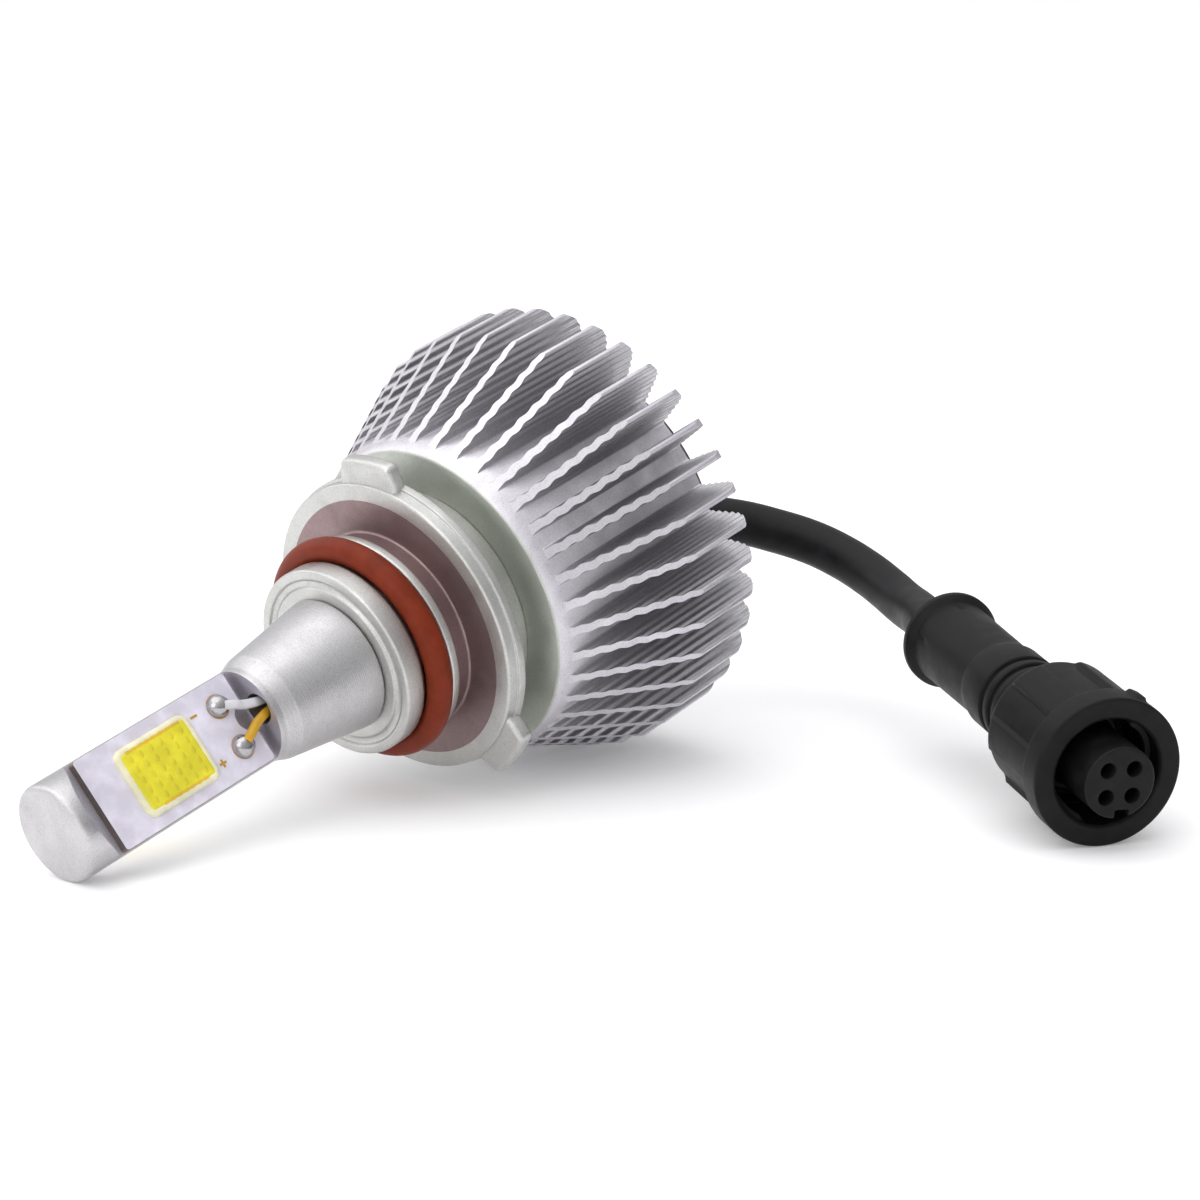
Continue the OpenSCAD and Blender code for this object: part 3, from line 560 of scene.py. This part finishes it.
# ---- LED boards ----
def on_board(side):
    """Frame of a board: x along it towards the base, y across, z out of its face; z = 0 on the flat."""
    turn = Matrix.Rotation(math.radians(BOARD_CLOCK + side), 4, "Z")
    front = Matrix.Translation((FLAT_H, 0, -SHOULDER_Z - BOARD_GAP - BOARD_L))
    lay = Matrix(((0, 0, 1, 0), (0, 1, 0, 0), (1, 0, 0, 0), (0, 0, 0, 1)))
    return LAMP @ turn @ front @ lay


def board_outline():
    notch_r = 1.5
    plain = rounded_box(0, -BOARD_W / 2, BOARD_L, BOARD_W / 2, 0.35)
    # The outline runs counter-clockwise from the rear left corner; the notch is on its last side
    quarter = len(plain) // 4
    low = plain[3 * quarter:]
    notch = [
        (BOARD_L - notch_r * math.cos(math.radians(a)), notch_r * math.sin(math.radians(a)))
        for a in range(-90, 91, 12)
    ]
    return low + notch + plain[: 3 * quarter]


def make_board(side, face_material, edge_material, node):
    bm = bmesh.new()
    prism_into(bm, board_outline(), 0, BOARD_T)
    bm.normal_update()
    for face in bm.faces:
        face.material_index = int(abs(face.normal.z) < 0.5)
    mesh = finish_mesh(node, bm)
    mesh.materials.append(face_material)
    mesh.materials.append(edge_material)
    board = new_object(node, mesh, on_board(side), nodes=[node])
    add_bevel(board, 0.07, 2)
    return board


def dome_grid(bm, x0, x1, y0, y1, nx, ny, height):
    """Closed-edge height field over a rectangle; height(x, y) gives z."""
    grid = [
        [bm.verts.new((x0 + (x1 - x0) * i / nx, y0 + (y1 - y0) * j / ny, 0)) for j in range(ny + 1)]
        for i in range(nx + 1)
    ]
    for row in grid:
        for v in row:
            v.co.z = height(v.co.x, v.co.y)
    for i in range(nx):
        for j in range(ny):
            bm.faces.new((grid[i][j], grid[i + 1][j], grid[i + 1][j + 1], grid[i][j + 1]))


def make_light_field(side, names, phosphor, dam, copper, chip):
    x0, x1 = FIELD_START, FIELD_START + FIELD_L
    half = FIELD_W / 2
    rim = 0.75
    top = BOARD_T + FIELD_T

    # Pale silicone dam: a soft ring around the phosphor
    bm = bmesh.new()
    section = [(0, 0), (0.06, 0.2), (0.22, 0.34), (0.45, 0.4), (0.62, 0.36), (rim, 0.26), (rim, 0)]
    rings = []
    for inset, z in section:
        outline = rounded_box(x0 - 0.35 + inset, -half - 0.35 + inset, x1 + 0.35 - inset, half + 0.35 - inset,
                              max(0.15, 1.05 - inset), 8)
        rings.append([bm.verts.new((x, y, BOARD_T + z)) for x, y in outline])
    for p, q in zip(rings, rings[1:]):
        for k in range(len(p)):
            n = (k + 1) % len(p)
            bm.faces.new((p[k], p[n], q[n], q[k]))
    new_object(names + "_dam", finish_mesh("dam", bm), on_board(side), material=dam)

    # Phosphor: a soft cushion with faint hollows between the chips
    def height(x, y):
        ex = min(1, max(0, min(x - x0, x1 - x)) / 0.5)
        ey = min(1, max(0, min(y + half, half - y)) / 0.5)
        edge = (1 - (1 - ex) ** 2) * (1 - (1 - ey) ** 2)
        wobble = 0.025 * noise.noise((x * 1.3, y * 1.3, side))
        return BOARD_T + 0.12 + edge * (FIELD_T - 0.16 + wobble)
    bm = bmesh.new()
    dome_grid(bm, x0, x1, -half, half, 64, 48, height)
    new_object(names + "_phosphor", finish_mesh("phosphor", bm, 80), on_board(side),
               nodes=[names], material=phosphor)

    # Chips under the phosphor show as darker ovals
    bm = bmesh.new()
    for i in range(6):
        for j in range(5):
            x = x0 + 1.15 + i * (FIELD_L - 2.3) / 5
            y = -half + 1.05 + j * (FIELD_W - 2.1) / 4
            place = Matrix.Translation((x, y, top - 0.055)) @ Matrix.Diagonal((0.24, 0.42, 0.075, 1))
            bmesh.ops.create_uvsphere(bm, u_segments=20, v_segments=10, radius=1, matrix=place)
    new_object(names + "_chips", finish_mesh("chips", bm), on_board(side), material=chip)

    # Bus lines along both long sides of the field, just under the phosphor
    bm = bmesh.new()
    for sign, start, end in ((1, 0.2, 0.86), (-1, 0.12, 0.9)):
        points = 26
        outline = []
        for edge in (1, -1):
            run = range(points) if edge == 1 else range(points - 1, -1, -1)
            for k in run:
                x = x0 + FIELD_L * (start + (end - start) * k / (points - 1))
                y = sign * (half - 0.33) + edge * (0.13 + 0.05 * math.sin(7.5 * x))
                outline.append((x, y))
        prism_into(bm, outline, top - 0.2, top - 0.035)
    new_object(names + "_bus", finish_mesh("bus", bm), on_board(side), material=copper)


def make_pads(side, names, gold):
    """Gold plus and minus marks, and the ring of each solder pad."""
    bm = bmesh.new()
    x_pad = BOARD_L - SOLDER_FROM_REAR
    z0, z1 = BOARD_T - 0.02, BOARD_T + 0.025
    mark_x, mark_y = x_pad - 2.9, SOLDER_PITCH / 2 + 0.35
    half, bar = 0.42, 0.12
    for y, long_x in ((mark_y, True), (mark_y, False), (-mark_y, True)):
        dx, dy = (half, bar) if long_x else (bar, half)
        prism_into(bm, rounded_box(mark_x - dx, y - dy, mark_x + dx, y + dy, 0.05), z0, z1 + 0.002 * long_x)
    for sign in (-1, 1):
        outline = [
            (x_pad + (SOLDER_R + 0.1) * math.cos(math.tau * k / 40),
             sign * SOLDER_PITCH / 2 + (SOLDER_R + 0.1) * math.sin(math.tau * k / 40))
            for k in range(40)
        ]
        prism_into(bm, outline, z0, z1)
    new_object(names + "_pads", finish_mesh("pads", bm), on_board(side), material=gold)


def make_solder(side, material, nodes=()):
    """Two lumpy solder domes with a small peak where the iron was lifted."""
    bm = bmesh.new()
    for sign in (-1, 1):
        place = Matrix.Translation((BOARD_L - SOLDER_FROM_REAR, sign * SOLDER_PITCH / 2, BOARD_T))
        profile = [
            (SOLDER_R + 0.06, -0.02), (SOLDER_R + 0.02, 0.1),
            (SOLDER_R * 0.97, 0.34), (SOLDER_R * 0.86, 0.62),
            (SOLDER_R * 0.66, 0.86), (SOLDER_R * 0.4, 1.02), (SOLDER_R * 0.18, 1.07), (0, 1.08),
        ]
        part = bmesh.new()
        lathe_into(part, profile, 40, closed=False)
        for v in part.verts:
            lump = noise.noise((v.co.x * 0.9 + side, v.co.y * 0.9 + sign * 3, v.co.z))
            v.co.x += 0.12 * lump
            v.co.y += 0.1 * noise.noise((v.co.y, v.co.x + side, sign * 5))
            v.co.z += 0.1 * lump * (v.co.z > 0.05)
        part.transform(place)
        piece = bpy.data.meshes.new("dome")
        part.to_mesh(piece)
        part.free()
        bm.from_mesh(piece)
        bpy.data.meshes.remove(piece)
    name = "solder_domes_" + ("front" if side == 0 else "back")
    return new_object(name, finish_mesh(name, bm, 80), on_board(side), nodes=nodes, material=material)


def make_leads(side, yellow, white, replaced):
    """Two insulated wires from the solder domes into the wire bore, with bare ends in the solder."""
    made = []
    for hand, material, name, node in ((1, yellow, "yellow_lead", "yellow_lead_wires"),
                                       (-1, white, "white_lead", "white_lead_wires")):
        x_pad = BOARD_L - SOLDER_FROM_REAR
        bore_x = BOARD_L + BOARD_GAP
        bore_z = WIRE_BORE_H - FLAT_H
        points = [
            (x_pad + 0.25, hand * (SOLDER_PITCH / 2 - 0.25), BOARD_T + 0.75),
            (x_pad + 0.95, hand * (SOLDER_PITCH / 2 - 0.62), BOARD_T + 1.05),
            (x_pad + 1.8, hand * 1.2, BOARD_T + 0.95),
            (bore_x - 0.5, hand * 0.82, bore_z + 0.35),
            (bore_x + 0.8, hand * 0.62, bore_z + 0.1),
            (bore_x + 3, hand * 0.6, bore_z),
            (bore_x + 12, hand * 0.6, bore_z),
        ]
        curve = tube_curve(name, [Vector(p) for p in points], LEAD_R + 0.02)
        curve.materials.append(material)
        made.append(new_object(f"{name}_{side}", curve, on_board(side), nodes=[node] if replaced else ()))
    return made


# ---- Socket base ----
def make_base(material, ring_reflection_shade):
    groove_front = -COLLAR_Z + 2.4
    groove_back = groove_front + 2.8
    flange_z, flange_back = -6.4, -4.1
    step = flange_z + 1.27
    profile = [
        (6.02, -COLLAR_Z), (8.1, -COLLAR_Z), (8.3, -COLLAR_Z + 0.32), (8.85, -COLLAR_Z + 0.32),
        (9.05, -COLLAR_Z),
        (10, -COLLAR_Z), (10, groove_front), (9.3, groove_front), (9.3, groove_back),
        (11.1, groove_back), (11.1, groove_back + 1.1), (10.4, groove_back + 1.1), (10.4, flange_z),
        (13.9, flange_z), (15.6, flange_z), (15.6, step), (15.85, step + 0.02),
        (15.85, flange_back), (12.5, flange_back),
        (12.5, 0), (6.02, 0),
    ]
    bm = bmesh.new()
    lathe_into(bm, rounded(profile, 0.32, 5), 224)
    # Faces on the flange's front face and step behind the silicone ring take the second material, a painted
    # reddish reflection of the ring and painted shade
    for face in bm.faces:
        centre = face.calc_center_median()
        r = centre.xy.length
        face.material_index = int(groove_back + 1.1 < centre.z < flange_z + 0.1 and 10.3 < r < 14)
    name = "sealed_socket_base"
    mesh = finish_mesh(name, bm, 50)
    mesh.materials.append(material)
    mesh.materials.append(ring_reflection_shade)
    base = new_object(name, mesh, LAMP, nodes=["socket_base"])

    bm = bmesh.new()
    for clock in (182, 315, 68):
        outline = []
        for r, width in ((12.2, 3.8), (16.2, 3.8), (18.1, 3.3)):
            a = math.asin(width / r)
            outline.append((r * math.cos(a), -r * math.sin(a)))
        tip = math.asin(3.3 / 18.1)
        for k in range(1, 8):
            a = -tip + 2 * tip * k / 8
            outline.append((18.1 * math.cos(a), 18.1 * math.sin(a)))
        outline += [(x, -y) for x, y in outline[2::-1]]
        turn = Matrix.Rotation(math.radians(clock), 4, "Z")
        prism_into(bm, outline, flange_z + 0.3, flange_back - 0.1, turn)
    lugs = new_object("locking_lugs", finish_mesh("locking_lugs", bm, 50), LAMP, material=material)
    add_bevel(lugs, 0.6, 5)
    return base, lugs


def make_seal(material):
    bm = bmesh.new()
    centre, r = 10.6, 1.3
    section = [
        (centre + r * math.cos(math.tau * k / 40), -11.0 + r * math.sin(math.tau * k / 40)) for k in range(40)
    ]
    lathe_into(bm, section, 224)
    return new_object("silicone_ring", finish_mesh("silicone_ring", bm, 80), LAMP,
                      nodes=["sealing_ring"], material=material)


# ---- Plug ----
def make_boot(material):
    """Rear body of the plug: grooved front, slimmer grip, end band with dimples ahead of it."""
    band = PLUG_L - 2.2
    profile = [(0, 20.12), (3.52, 20.12), (3.52, 14.1), (4.65, 14.1)]
    for k in range(3):
        z = 15.3 + 1.9 * k
        profile += [(4.65, z), (4.15, z + 0.12), (4.15, z + 0.78), (4.65, z + 0.9)]
    profile += [(4.65, 23.6), (4.35, 25.1)]
    profile += [(4.35 + 0.15 * k / 12, 25.1 + (band - 0.4 - 25.1) * k / 12) for k in range(1, 13)]
    profile += [(4.9, band), (5.2, band + 0.4), (5.2, PLUG_L - 1.1), (4.1, PLUG_L), (0, PLUG_L)]

    def radius_at(r, z, a):
        if r < 4 or not band - 3 < z < band - 0.3:
            return r
        off = (math.degrees(a) - 30) % 75
        off = min(off, 75 - off) / 6
        return r - 0.35 * max(0.0, 1 - off**2 - ((z - band + 1.6) / 0.7) ** 2)
    bm = bmesh.new()
    lathe_into(bm, rounded(profile, 0.28, 4), 192, radius_at=radius_at)
    name = "plug_rear_body"
    return new_object(name, finish_mesh(name, bm, 50), PLUG, nodes=["plug_boot"], material=material)


def make_barrel(material):
    outer = NUT_BORE_R - 0.12
    profile = [
        (INSERT_R + 0.02, 7.6), (outer, 7.6), (outer, 9.6), (BARREL_R, 9.6), (BARREL_R, 14.1),
        (3.5, 14.1), (3.5, 20.1), (0, 20.1), (0, 12.2), (INSERT_R + 0.02, 12.2),
    ]
    bm = bmesh.new()
    lathe_into(bm, rounded(profile, 0.12, 3), 128)
    name = "plug_inner_barrel"
    return new_object(name, finish_mesh(name, bm), PLUG, nodes=["plug_barrel"], material=material)


def make_insert(material):
    """Round insert with four contact holes and a key notch, built as a pierced disc and its sides."""
    profile = [(0, -INSERT_PROUD), (INSERT_R, -INSERT_PROUD), (INSERT_R, 12.18), (0, 12.18)]
    bm = bmesh.new()
    lathe_into(bm, rounded(profile, 0.3, 5), 128)
    name = "plug_four_way_insert"
    insert = new_object(name, finish_mesh(name, bm), PLUG, nodes=["plug_insert"])
    tools = []
    for x in (-1, 1):
        for y in (-1, 1):
            def build(bm, x=x, y=y):
                place = Matrix.Translation((x * CONTACT_PITCH / 2, y * CONTACT_PITCH / 2, 0))
                lathe = [(0, -INSERT_PROUD - 1), (1.15, -INSERT_PROUD - 1),
                         (CONTACT_HOLE_R, -INSERT_PROUD + 0.22),
                         (CONTACT_HOLE_R, -0.22), (0.95, -0.2), (0.95, 10), (0, 10)]
                lathe_into(bm, lathe, 40)
                bmesh.ops.transform(bm, matrix=place, verts=bm.verts)
            tools.append(cutter("contact_cutter", PLUG, build))

    def notch(bm):
        prism_into(bm, rounded_box(INSERT_R - 0.9, -1.15, INSERT_R + 1, 0.35, 0.2), -INSERT_PROUD - 1, 3.4)
    cut(insert, *tools, cutter("notch_cutter", PLUG, notch))
    insert.data.materials.clear()
    insert.data.materials.append(material)
    insert.data.shade_smooth()
    add_bevel(insert, 0.08, 2, 40)
    return insert


def make_contacts(material):
    bm = bmesh.new()
    for x in (-1, 1):
        for y in (-1, 1):
            part = bmesh.new()
            profile = [
                (0.6, 0), (0.68, -0.2), (0.9, -0.17), (0.93, 0), (0.93, 11), (0, 11), (0, 8), (0.6, 8),
            ]
            lathe_into(part, profile, 32)
            part.transform(Matrix.Translation((x * CONTACT_PITCH / 2, y * CONTACT_PITCH / 2, 0)))
            piece = bpy.data.meshes.new("contact")
            part.to_mesh(piece)
            part.free()
            bm.from_mesh(piece)
            bpy.data.meshes.remove(piece)
    name = "plug_sleeve_contacts"
    return new_object(name, finish_mesh(name, bm), PLUG, nodes=["plug_contacts"], material=material)


def make_nut(material):
    """Coupling nut: ribbed body, plain front ring with one bump, quick-thread ramps in its bore."""
    ring_w, body_r, rib_r = 3.0, NUT_R - 0.95, NUT_R - 0.45
    rib_half, fade = math.radians(16), math.radians(3.5)

    def rib(z):
        return min(1.0, max(0.0, (z - ring_w + 0.3) / 0.4)) * min(1.0, max(0.0, (NUT_L - 0.8 - z) / 0.5))

    def radius_at(r, z, a):
        if ring_w + 0.2 < z < NUT_L - 0.3 and r > body_r - 0.1:
            off = abs((a - math.radians(30) + math.pi / 6) % (math.pi / 3) - math.pi / 6)
            t = min(1.0, max(0.0, (rib_half - off) / fade))
            return r + (rib_r - body_r) * rib(z) * t * t * (3 - 2 * t)
        if z < ring_w and r > NUT_R - 0.2:
            off = abs((a - math.radians(INDEX_BUMP) + math.pi) % math.tau - math.pi)
            t = min(1.0, max(0.0, (math.radians(6) - off) / math.radians(2.5)))
            return r + 0.35 * t * t * (3 - 2 * t) * min(1.0, max(0.0, (z - 0.7) / 0.3))
        return r
    body = [(body_r, ring_w + 0.35 + k * (NUT_L - ring_w - 1.0) / 22) for k in range(23)]
    profile = rounded([
        (NUT_BORE_R, 0.35), (NUT_BORE_R + 0.35, 0), (NUT_R, 0), (NUT_R, 0.8), (NUT_R, 1.2), (NUT_R, ring_w),
        (body_r, ring_w + 0.05),
    ], 0.35, 5)[:-1] + body + rounded([
        (body_r - 0.1, NUT_L - 0.3), (body_r - 0.6, NUT_L), (BARREL_R + NUT_GAP, NUT_L),
        (BARREL_R + NUT_GAP, 9.75),
        (NUT_BORE_R, 9.75), (NUT_BORE_R, 5),
    ], 0.12, 3)
    bm = bmesh.new()
    lathe_into(bm, profile, 360, radius_at=radius_at)
    # Two-start ramp of a quick thread, a raised band winding inwards
    for start in (20, 200):
        previous = None
        for k in range(49):
            t = k / 48
            a = math.radians(start + 130 * t)
            z = 0.9 + 3.6 * t
            lift = 0.42 * min(1, t / 0.06, (1 - t) / 0.06)
            section = [(NUT_BORE_R + 0.05, z - 0.55), (NUT_BORE_R - lift, z - 0.35),
                       (NUT_BORE_R - lift, z + 0.35),
                       (NUT_BORE_R + 0.05, z + 0.55)]
            row = [bm.verts.new((r * math.cos(a), r * math.sin(a), zz)) for r, zz in section]
            if previous:
                for i in range(3):
                    bm.faces.new((previous[i], previous[i + 1], row[i + 1], row[i]))
            previous = row
    name = "ribbed_coupling_nut"
    mesh = finish_mesh(name, bm, 42)
    return new_object(name, mesh, PLUG, body="nut", nodes=["coupling_nut"], material=material)


def make_plug_seal(material):
    bm = bmesh.new()
    section = [
        (4.1 + 0.5 * math.cos(math.tau * k / 20), 7.1 + 0.5 * math.sin(math.tau * k / 20))
        for k in range(20)
    ]
    lathe_into(bm, section, 96)
    name = "plug_face_seal"
    return new_object(name, finish_mesh(name, bm, 80), PLUG, nodes=["plug_seal"], material=material)


# ---- Rear of the lamp ----
def make_grommet(material):
    """Cable grommet: flange on the cover and a tapered sleeve with two relief rings."""
    profile = [(CABLE_R, 24.2), (3, 24.2), (3, 26.2), (4, 26.2), (4, 27.3), (3.6, 27.4)]
    for k in range(2):
        z = 27.9 + 1.3 * k
        r = 3.5 - 0.2 * k
        profile += [(r, z), (r - 0.28, z + 0.1), (r - 0.28, z + 0.5), (r - 0.05, z + 0.6)]
    profile += [(2.85, SLEEVE_END - 0.1), (2.6, SLEEVE_END), (CABLE_R, SLEEVE_END)]
    bm = bmesh.new()
    lathe_into(bm, rounded(profile, 0.12, 3), 96)
    place = Matrix.Translation(polar(OUTLET_RHO, OUTLET_CLOCK, 0))
    name = "cable_outlet_grommet"
    mesh = finish_mesh(name, bm, 50)
    return new_object(name, mesh, LAMP @ place, nodes=["cable_grommet"], material=material)


def make_cover(material):
    """Rear cover with its round grille, cable outlet and screw seats; slightly smaller than the CAD's."""
    top = 26.2
    profile = [(9, 24.2), (16, 24.2), (16, top - 1.2), (15.2, top), (9, top)]
    bm = bmesh.new()
    lathe_into(bm, rounded(profile, 0.45, 5), 192)
    name = "rear_cover_shell"
    cover = new_object(name, finish_mesh(name, bm, 50), LAMP, nodes=["rear_cover"])
    outlet = Matrix.Translation(polar(OUTLET_RHO, OUTLET_CLOCK, 20))
    tools = [cutter("outlet_cutter", LAMP, lambda bm: bmesh.ops.create_cone(
        bm, segments=64, radius1=3.02, radius2=3.02, depth=20, cap_ends=True, matrix=outlet))]
    for clock in range(4):
        seat = Matrix.Translation(polar(8 * math.sqrt(2), OUTLET_CLOCK + 45 + 90 * clock, 0))
        def build(bm, seat=seat):
            lathe_into(bm, [(0, 20), (1.1, 20), (1.1, top - 1.2), (2.05, top - 1.2), (2.05, 30), (0, 30)], 48)
            bmesh.ops.transform(bm, matrix=seat, verts=bm.verts)
        tools.append(cutter("seat_cutter", LAMP, build))
    cut(cover, *tools)
    cover.data.materials.clear()
    cover.data.materials.append(material)
    cover.data.shade_smooth()
    add_bevel(cover, 0.1, 2, 40)

    bm = bmesh.new()
    for r in (3, 5, 7):
        inner = 0 if r == 3 else r - 0.9
        ring = [(inner, top - 1), (r, top - 1), (r, top), (inner, top)]
        lathe_into(bm, rounded(ring, 0.15, 3), 128)
    for clock in (10, 100, 190, 280):
        turn = Matrix.Rotation(math.radians(OUTLET_CLOCK + clock), 4, "Z")
        prism_into(bm, [(2.5, -0.45), (9.2, -0.45), (9.2, 0.45), (2.5, 0.45)], top - 1, top - 0.06, turn)
    grille = new_object("fan_grille", finish_mesh("fan_grille", bm, 50), LAMP, material=material)
    return cover, grille


# ---- Small CAD parts that keep their own shape ----
def dress(materials):
    """Gives each named CAD part its procedural material."""
    for node, material in materials.items():
        mesh = frame["nodes"][node].data
        mesh.materials.clear()
        mesh.materials.append(material)


# ---- Floor and light ----
def make_stage():
    bm = bmesh.new()
    bmesh.ops.create_grid(bm, x_segments=8, y_segments=8, size=8)
    mesh = finish_mesh("floor", bm)
    s = Surface("floor_paper", (0.9, 0.9, 0.905), 0.6)
    s.set("Emission Color", (1, 1, 1, 1))
    s.set("Emission Strength", 0.16)
    s.set("Specular IOR Level", 0.25)
    s.bump(s.noise(900, 2), 0.004, 0.3)
    mesh.materials.append(s.mat)
    floor = bpy.data.objects.new("floor", mesh)
    bpy.context.scene.collection.objects.link(floor)


def area_light(name, place, aim, size, power, color=(1, 1, 1)):
    data = bpy.data.lights.new(name, "AREA")
    data.shape = "RECTANGLE"
    data.size, data.size_y = size
    data.energy = power
    data.color = color
    obj = bpy.data.objects.new(name, data)
    bpy.context.scene.collection.objects.link(obj)
    obj.location = place
    obj.rotation_mode = "QUATERNION"
    obj.rotation_quaternion = (Vector(aim) - Vector(place)).to_track_quat("-Z", "Y")


def make_lights():
    """A white room, brighter overhead and to the left, with three large soft boxes."""
    world = bpy.data.worlds.new("studio")
    world.use_nodes = True
    tree = world.node_tree
    background = tree.nodes["Background"]
    background.inputs["Color"].default_value = (0.985, 0.985, 1.0, 1)
    coords = tree.nodes.new("ShaderNodeTexCoord")
    facing = tree.nodes.new("ShaderNodeVectorMath")
    facing.operation = "DOT_PRODUCT"
    facing.inputs[1].default_value = (-0.45, 0.3, 0.84)
    level = tree.nodes.new("ShaderNodeMapRange")
    for socket, number in (("From Min", -0.5), ("From Max", 1), ("To Min", 0.25), ("To Max", 1.25)):
        level.inputs[socket].default_value = number
    tree.links.new(coords.outputs["Generated"], facing.inputs[0])
    tree.links.new(facing.outputs["Value"], level.inputs["Value"])
    tree.links.new(level.outputs["Result"], background.inputs["Strength"])
    bpy.context.scene.world = world
    target = (0, -0.02, 0.02)
    area_light("overhead", (-0.15, 0.1, 1.1), target, (1.2, 1.2), 4.5)
    area_light("front_left", (-0.95, -0.2, 0.55), target, (0.7, 0.7), 2.2)
    area_light("rear_left", (-0.3, 0.9, 0.5), target, (0.6, 0.6), 1.2)


# ---- Materials ----
ALUMINIUM = turned_metal("post_aluminium", (0.54, 0.53, 0.54), 0.34, 0.03)
SOCKET_ALLOY = turned_metal("socket_alloy", (0.56, 0.56, 0.54), 0.36, 0.03)
# Painted reddish reflection of the red silicone ring and painted shade, for the flange face behind it
RING_REFLECTION_ALLOY = turned_metal("painted_ring_reflection_and_shade", (0.3, 0.22, 0.22), 0.4, 0.02)
MILLED_FACE = turned_metal("milled_face", (0.6, 0.58, 0.64), 0.5, 0.02)
FIN_SIDE = turned_metal("fin_side", (0.54, 0.53, 0.55), 0.38, 0.012)
FIN_CUT = turned_metal("fin_cut_face", (0.66, 0.64, 0.68), 0.46, 0.02)
HUB_FACE = turned_metal("hub_face", (0.5, 0.52, 0.47), 0.42)
BOARD = plastic("board_white", (0.6, 0.57, 0.65), 0.38, 0.003)
BOARD_EDGE = turned_metal("board_core_edge", (0.3, 0.25, 0.21), 0.5, 0.01)
PHOSPHOR = plastic("phosphor_yellow", (0.64, 0.57, 0.02), 0.36, 0.006)
CHIP = plastic("phosphor_over_chip", (0.58, 0.5, 0.017), 0.36, 0.003)
DAM = plastic("dam_silicone", (0.68, 0.65, 0.45), 0.35, 0.003)
COPPER = plastic("bus_under_phosphor", (0.62, 0.4, 0.02), 0.4, 0.004)
GOLD = turned_metal("pad_gold", (0.7, 0.42, 0.08), 0.4, 0.004)
SOLDER = turned_metal("solder_tin", (0.42, 0.41, 0.42), 0.16, 0.01)
YELLOW_WIRE = plastic("wire_yellow", (0.5, 0.27, 0.01), 0.4, 0.003)
WHITE_WIRE = plastic("wire_white", (0.5, 0.5, 0.52), 0.4, 0.003)
SEAL = plastic("silicone_red", (0.15, 0.018, 0.004), 0.42, 0.006, specular=0.15)
JACKET = plastic("cable_black", (0.009, 0.009, 0.01), 0.42, 0.01, specular=0.15)
PLUG_BLACK = plastic("plug_black", (0.006, 0.006, 0.006), 0.44, 0.012, PLUG, specular=0.13)
INSERT_BLACK = plastic("insert_black", (0.006, 0.0055, 0.0055), 0.45, 0.008, PLUG, specular=0.15)
# Tin-grey contacts, darkened further as painted shade deep in the contact holes
CONTACT_TIN_SHADED = turned_metal("contact_tin_painted_shade", (0.32, 0.31, 0.3), 0.35, 0.003, PLUG)
COVER = plastic("cover_black", (0.012, 0.012, 0.014), 0.5, 0.02, specular=0.3)
RUBBER = plastic("grommet_black", (0.01, 0.01, 0.01), 0.55, 0.01, specular=0.3)
PLUG_SEAL = plastic("seal_black", (0.008, 0.008, 0.008), 0.5, 0.004, PLUG, specular=0.3)
FAN_PLASTIC = plastic("fan_black", (0.018, 0.018, 0.02), 0.4, 0.008)
STEEL = turned_metal("bright_steel", (0.5, 0.5, 0.5), 0.25, 0.006)
DARK_SCREW = turned_metal("dark_screw", (0.09, 0.09, 0.095), 0.4, 0.01)
FERRITE = plastic("magnet_ferrite", (0.035, 0.034, 0.033), 0.55, 0.02)
BRONZE = turned_metal("bearing_bronze", (0.45, 0.3, 0.13), 0.4, 0.012)
LAMINATE = turned_metal("core_steel", (0.3, 0.3, 0.32), 0.4, 0.01)
ENAMEL_COPPER = turned_metal("coil_copper", (0.62, 0.26, 0.08), 0.3, 0.02)
CIRCUIT = plastic("circuit_green", (0.01, 0.09, 0.03), 0.4, 0.004)
RED_WIRE = plastic("fan_wire_red", (0.4, 0.02, 0.015), 0.42, 0.003)


# ---- Build ----
cable, cable_exit = make_cable(JACKET)
make_heat_sink(FIN_SIDE, FIN_CUT, HUB_FACE)
make_post(ALUMINIUM, MILLED_FACE)
make_base(SOCKET_ALLOY, RING_REFLECTION_ALLOY)
make_seal(SEAL)
for side, end in ((0, "front"), (180, "back")):
    make_board(side, BOARD, BOARD_EDGE, "led_board_" + end)
    make_light_field(side, "light_field_" + end, PHOSPHOR, DAM, COPPER, CHIP)
    make_pads(side, "board_" + end, GOLD)
    make_leads(side, YELLOW_WIRE, WHITE_WIRE, side == 0)
make_solder(180, SOLDER)
make_solder(0, SOLDER, ["solder_joints"])
plug_parts = [
    make_boot(PLUG_BLACK), make_barrel(PLUG_BLACK), make_insert(INSERT_BLACK),
    make_contacts(CONTACT_TIN_SHADED), make_nut(PLUG_BLACK), make_plug_seal(PLUG_SEAL),
]
make_grommet(RUBBER)
make_cover(COVER)
dress({
    "base_set_screw": DARK_SCREW, "fan_frame": FAN_PLASTIC, "fan_rotor": FAN_PLASTIC,
    "rotor_magnet": FERRITE, "fan_shaft": STEEL, "shaft_clip": STEEL, "shaft_bearing": BRONZE,
    "stator_core": LAMINATE, "stator_coils": ENAMEL_COPPER, "fan_circuit_board": CIRCUIT,
    "fan_lead_wires": RED_WIRE, "fan_screws": DARK_SCREW, "cable_tail": JACKET,
})
tuple(cable_exit)
make_stage()
make_lights()
bpy.context.scene.view_settings.view_transform = "Standard"
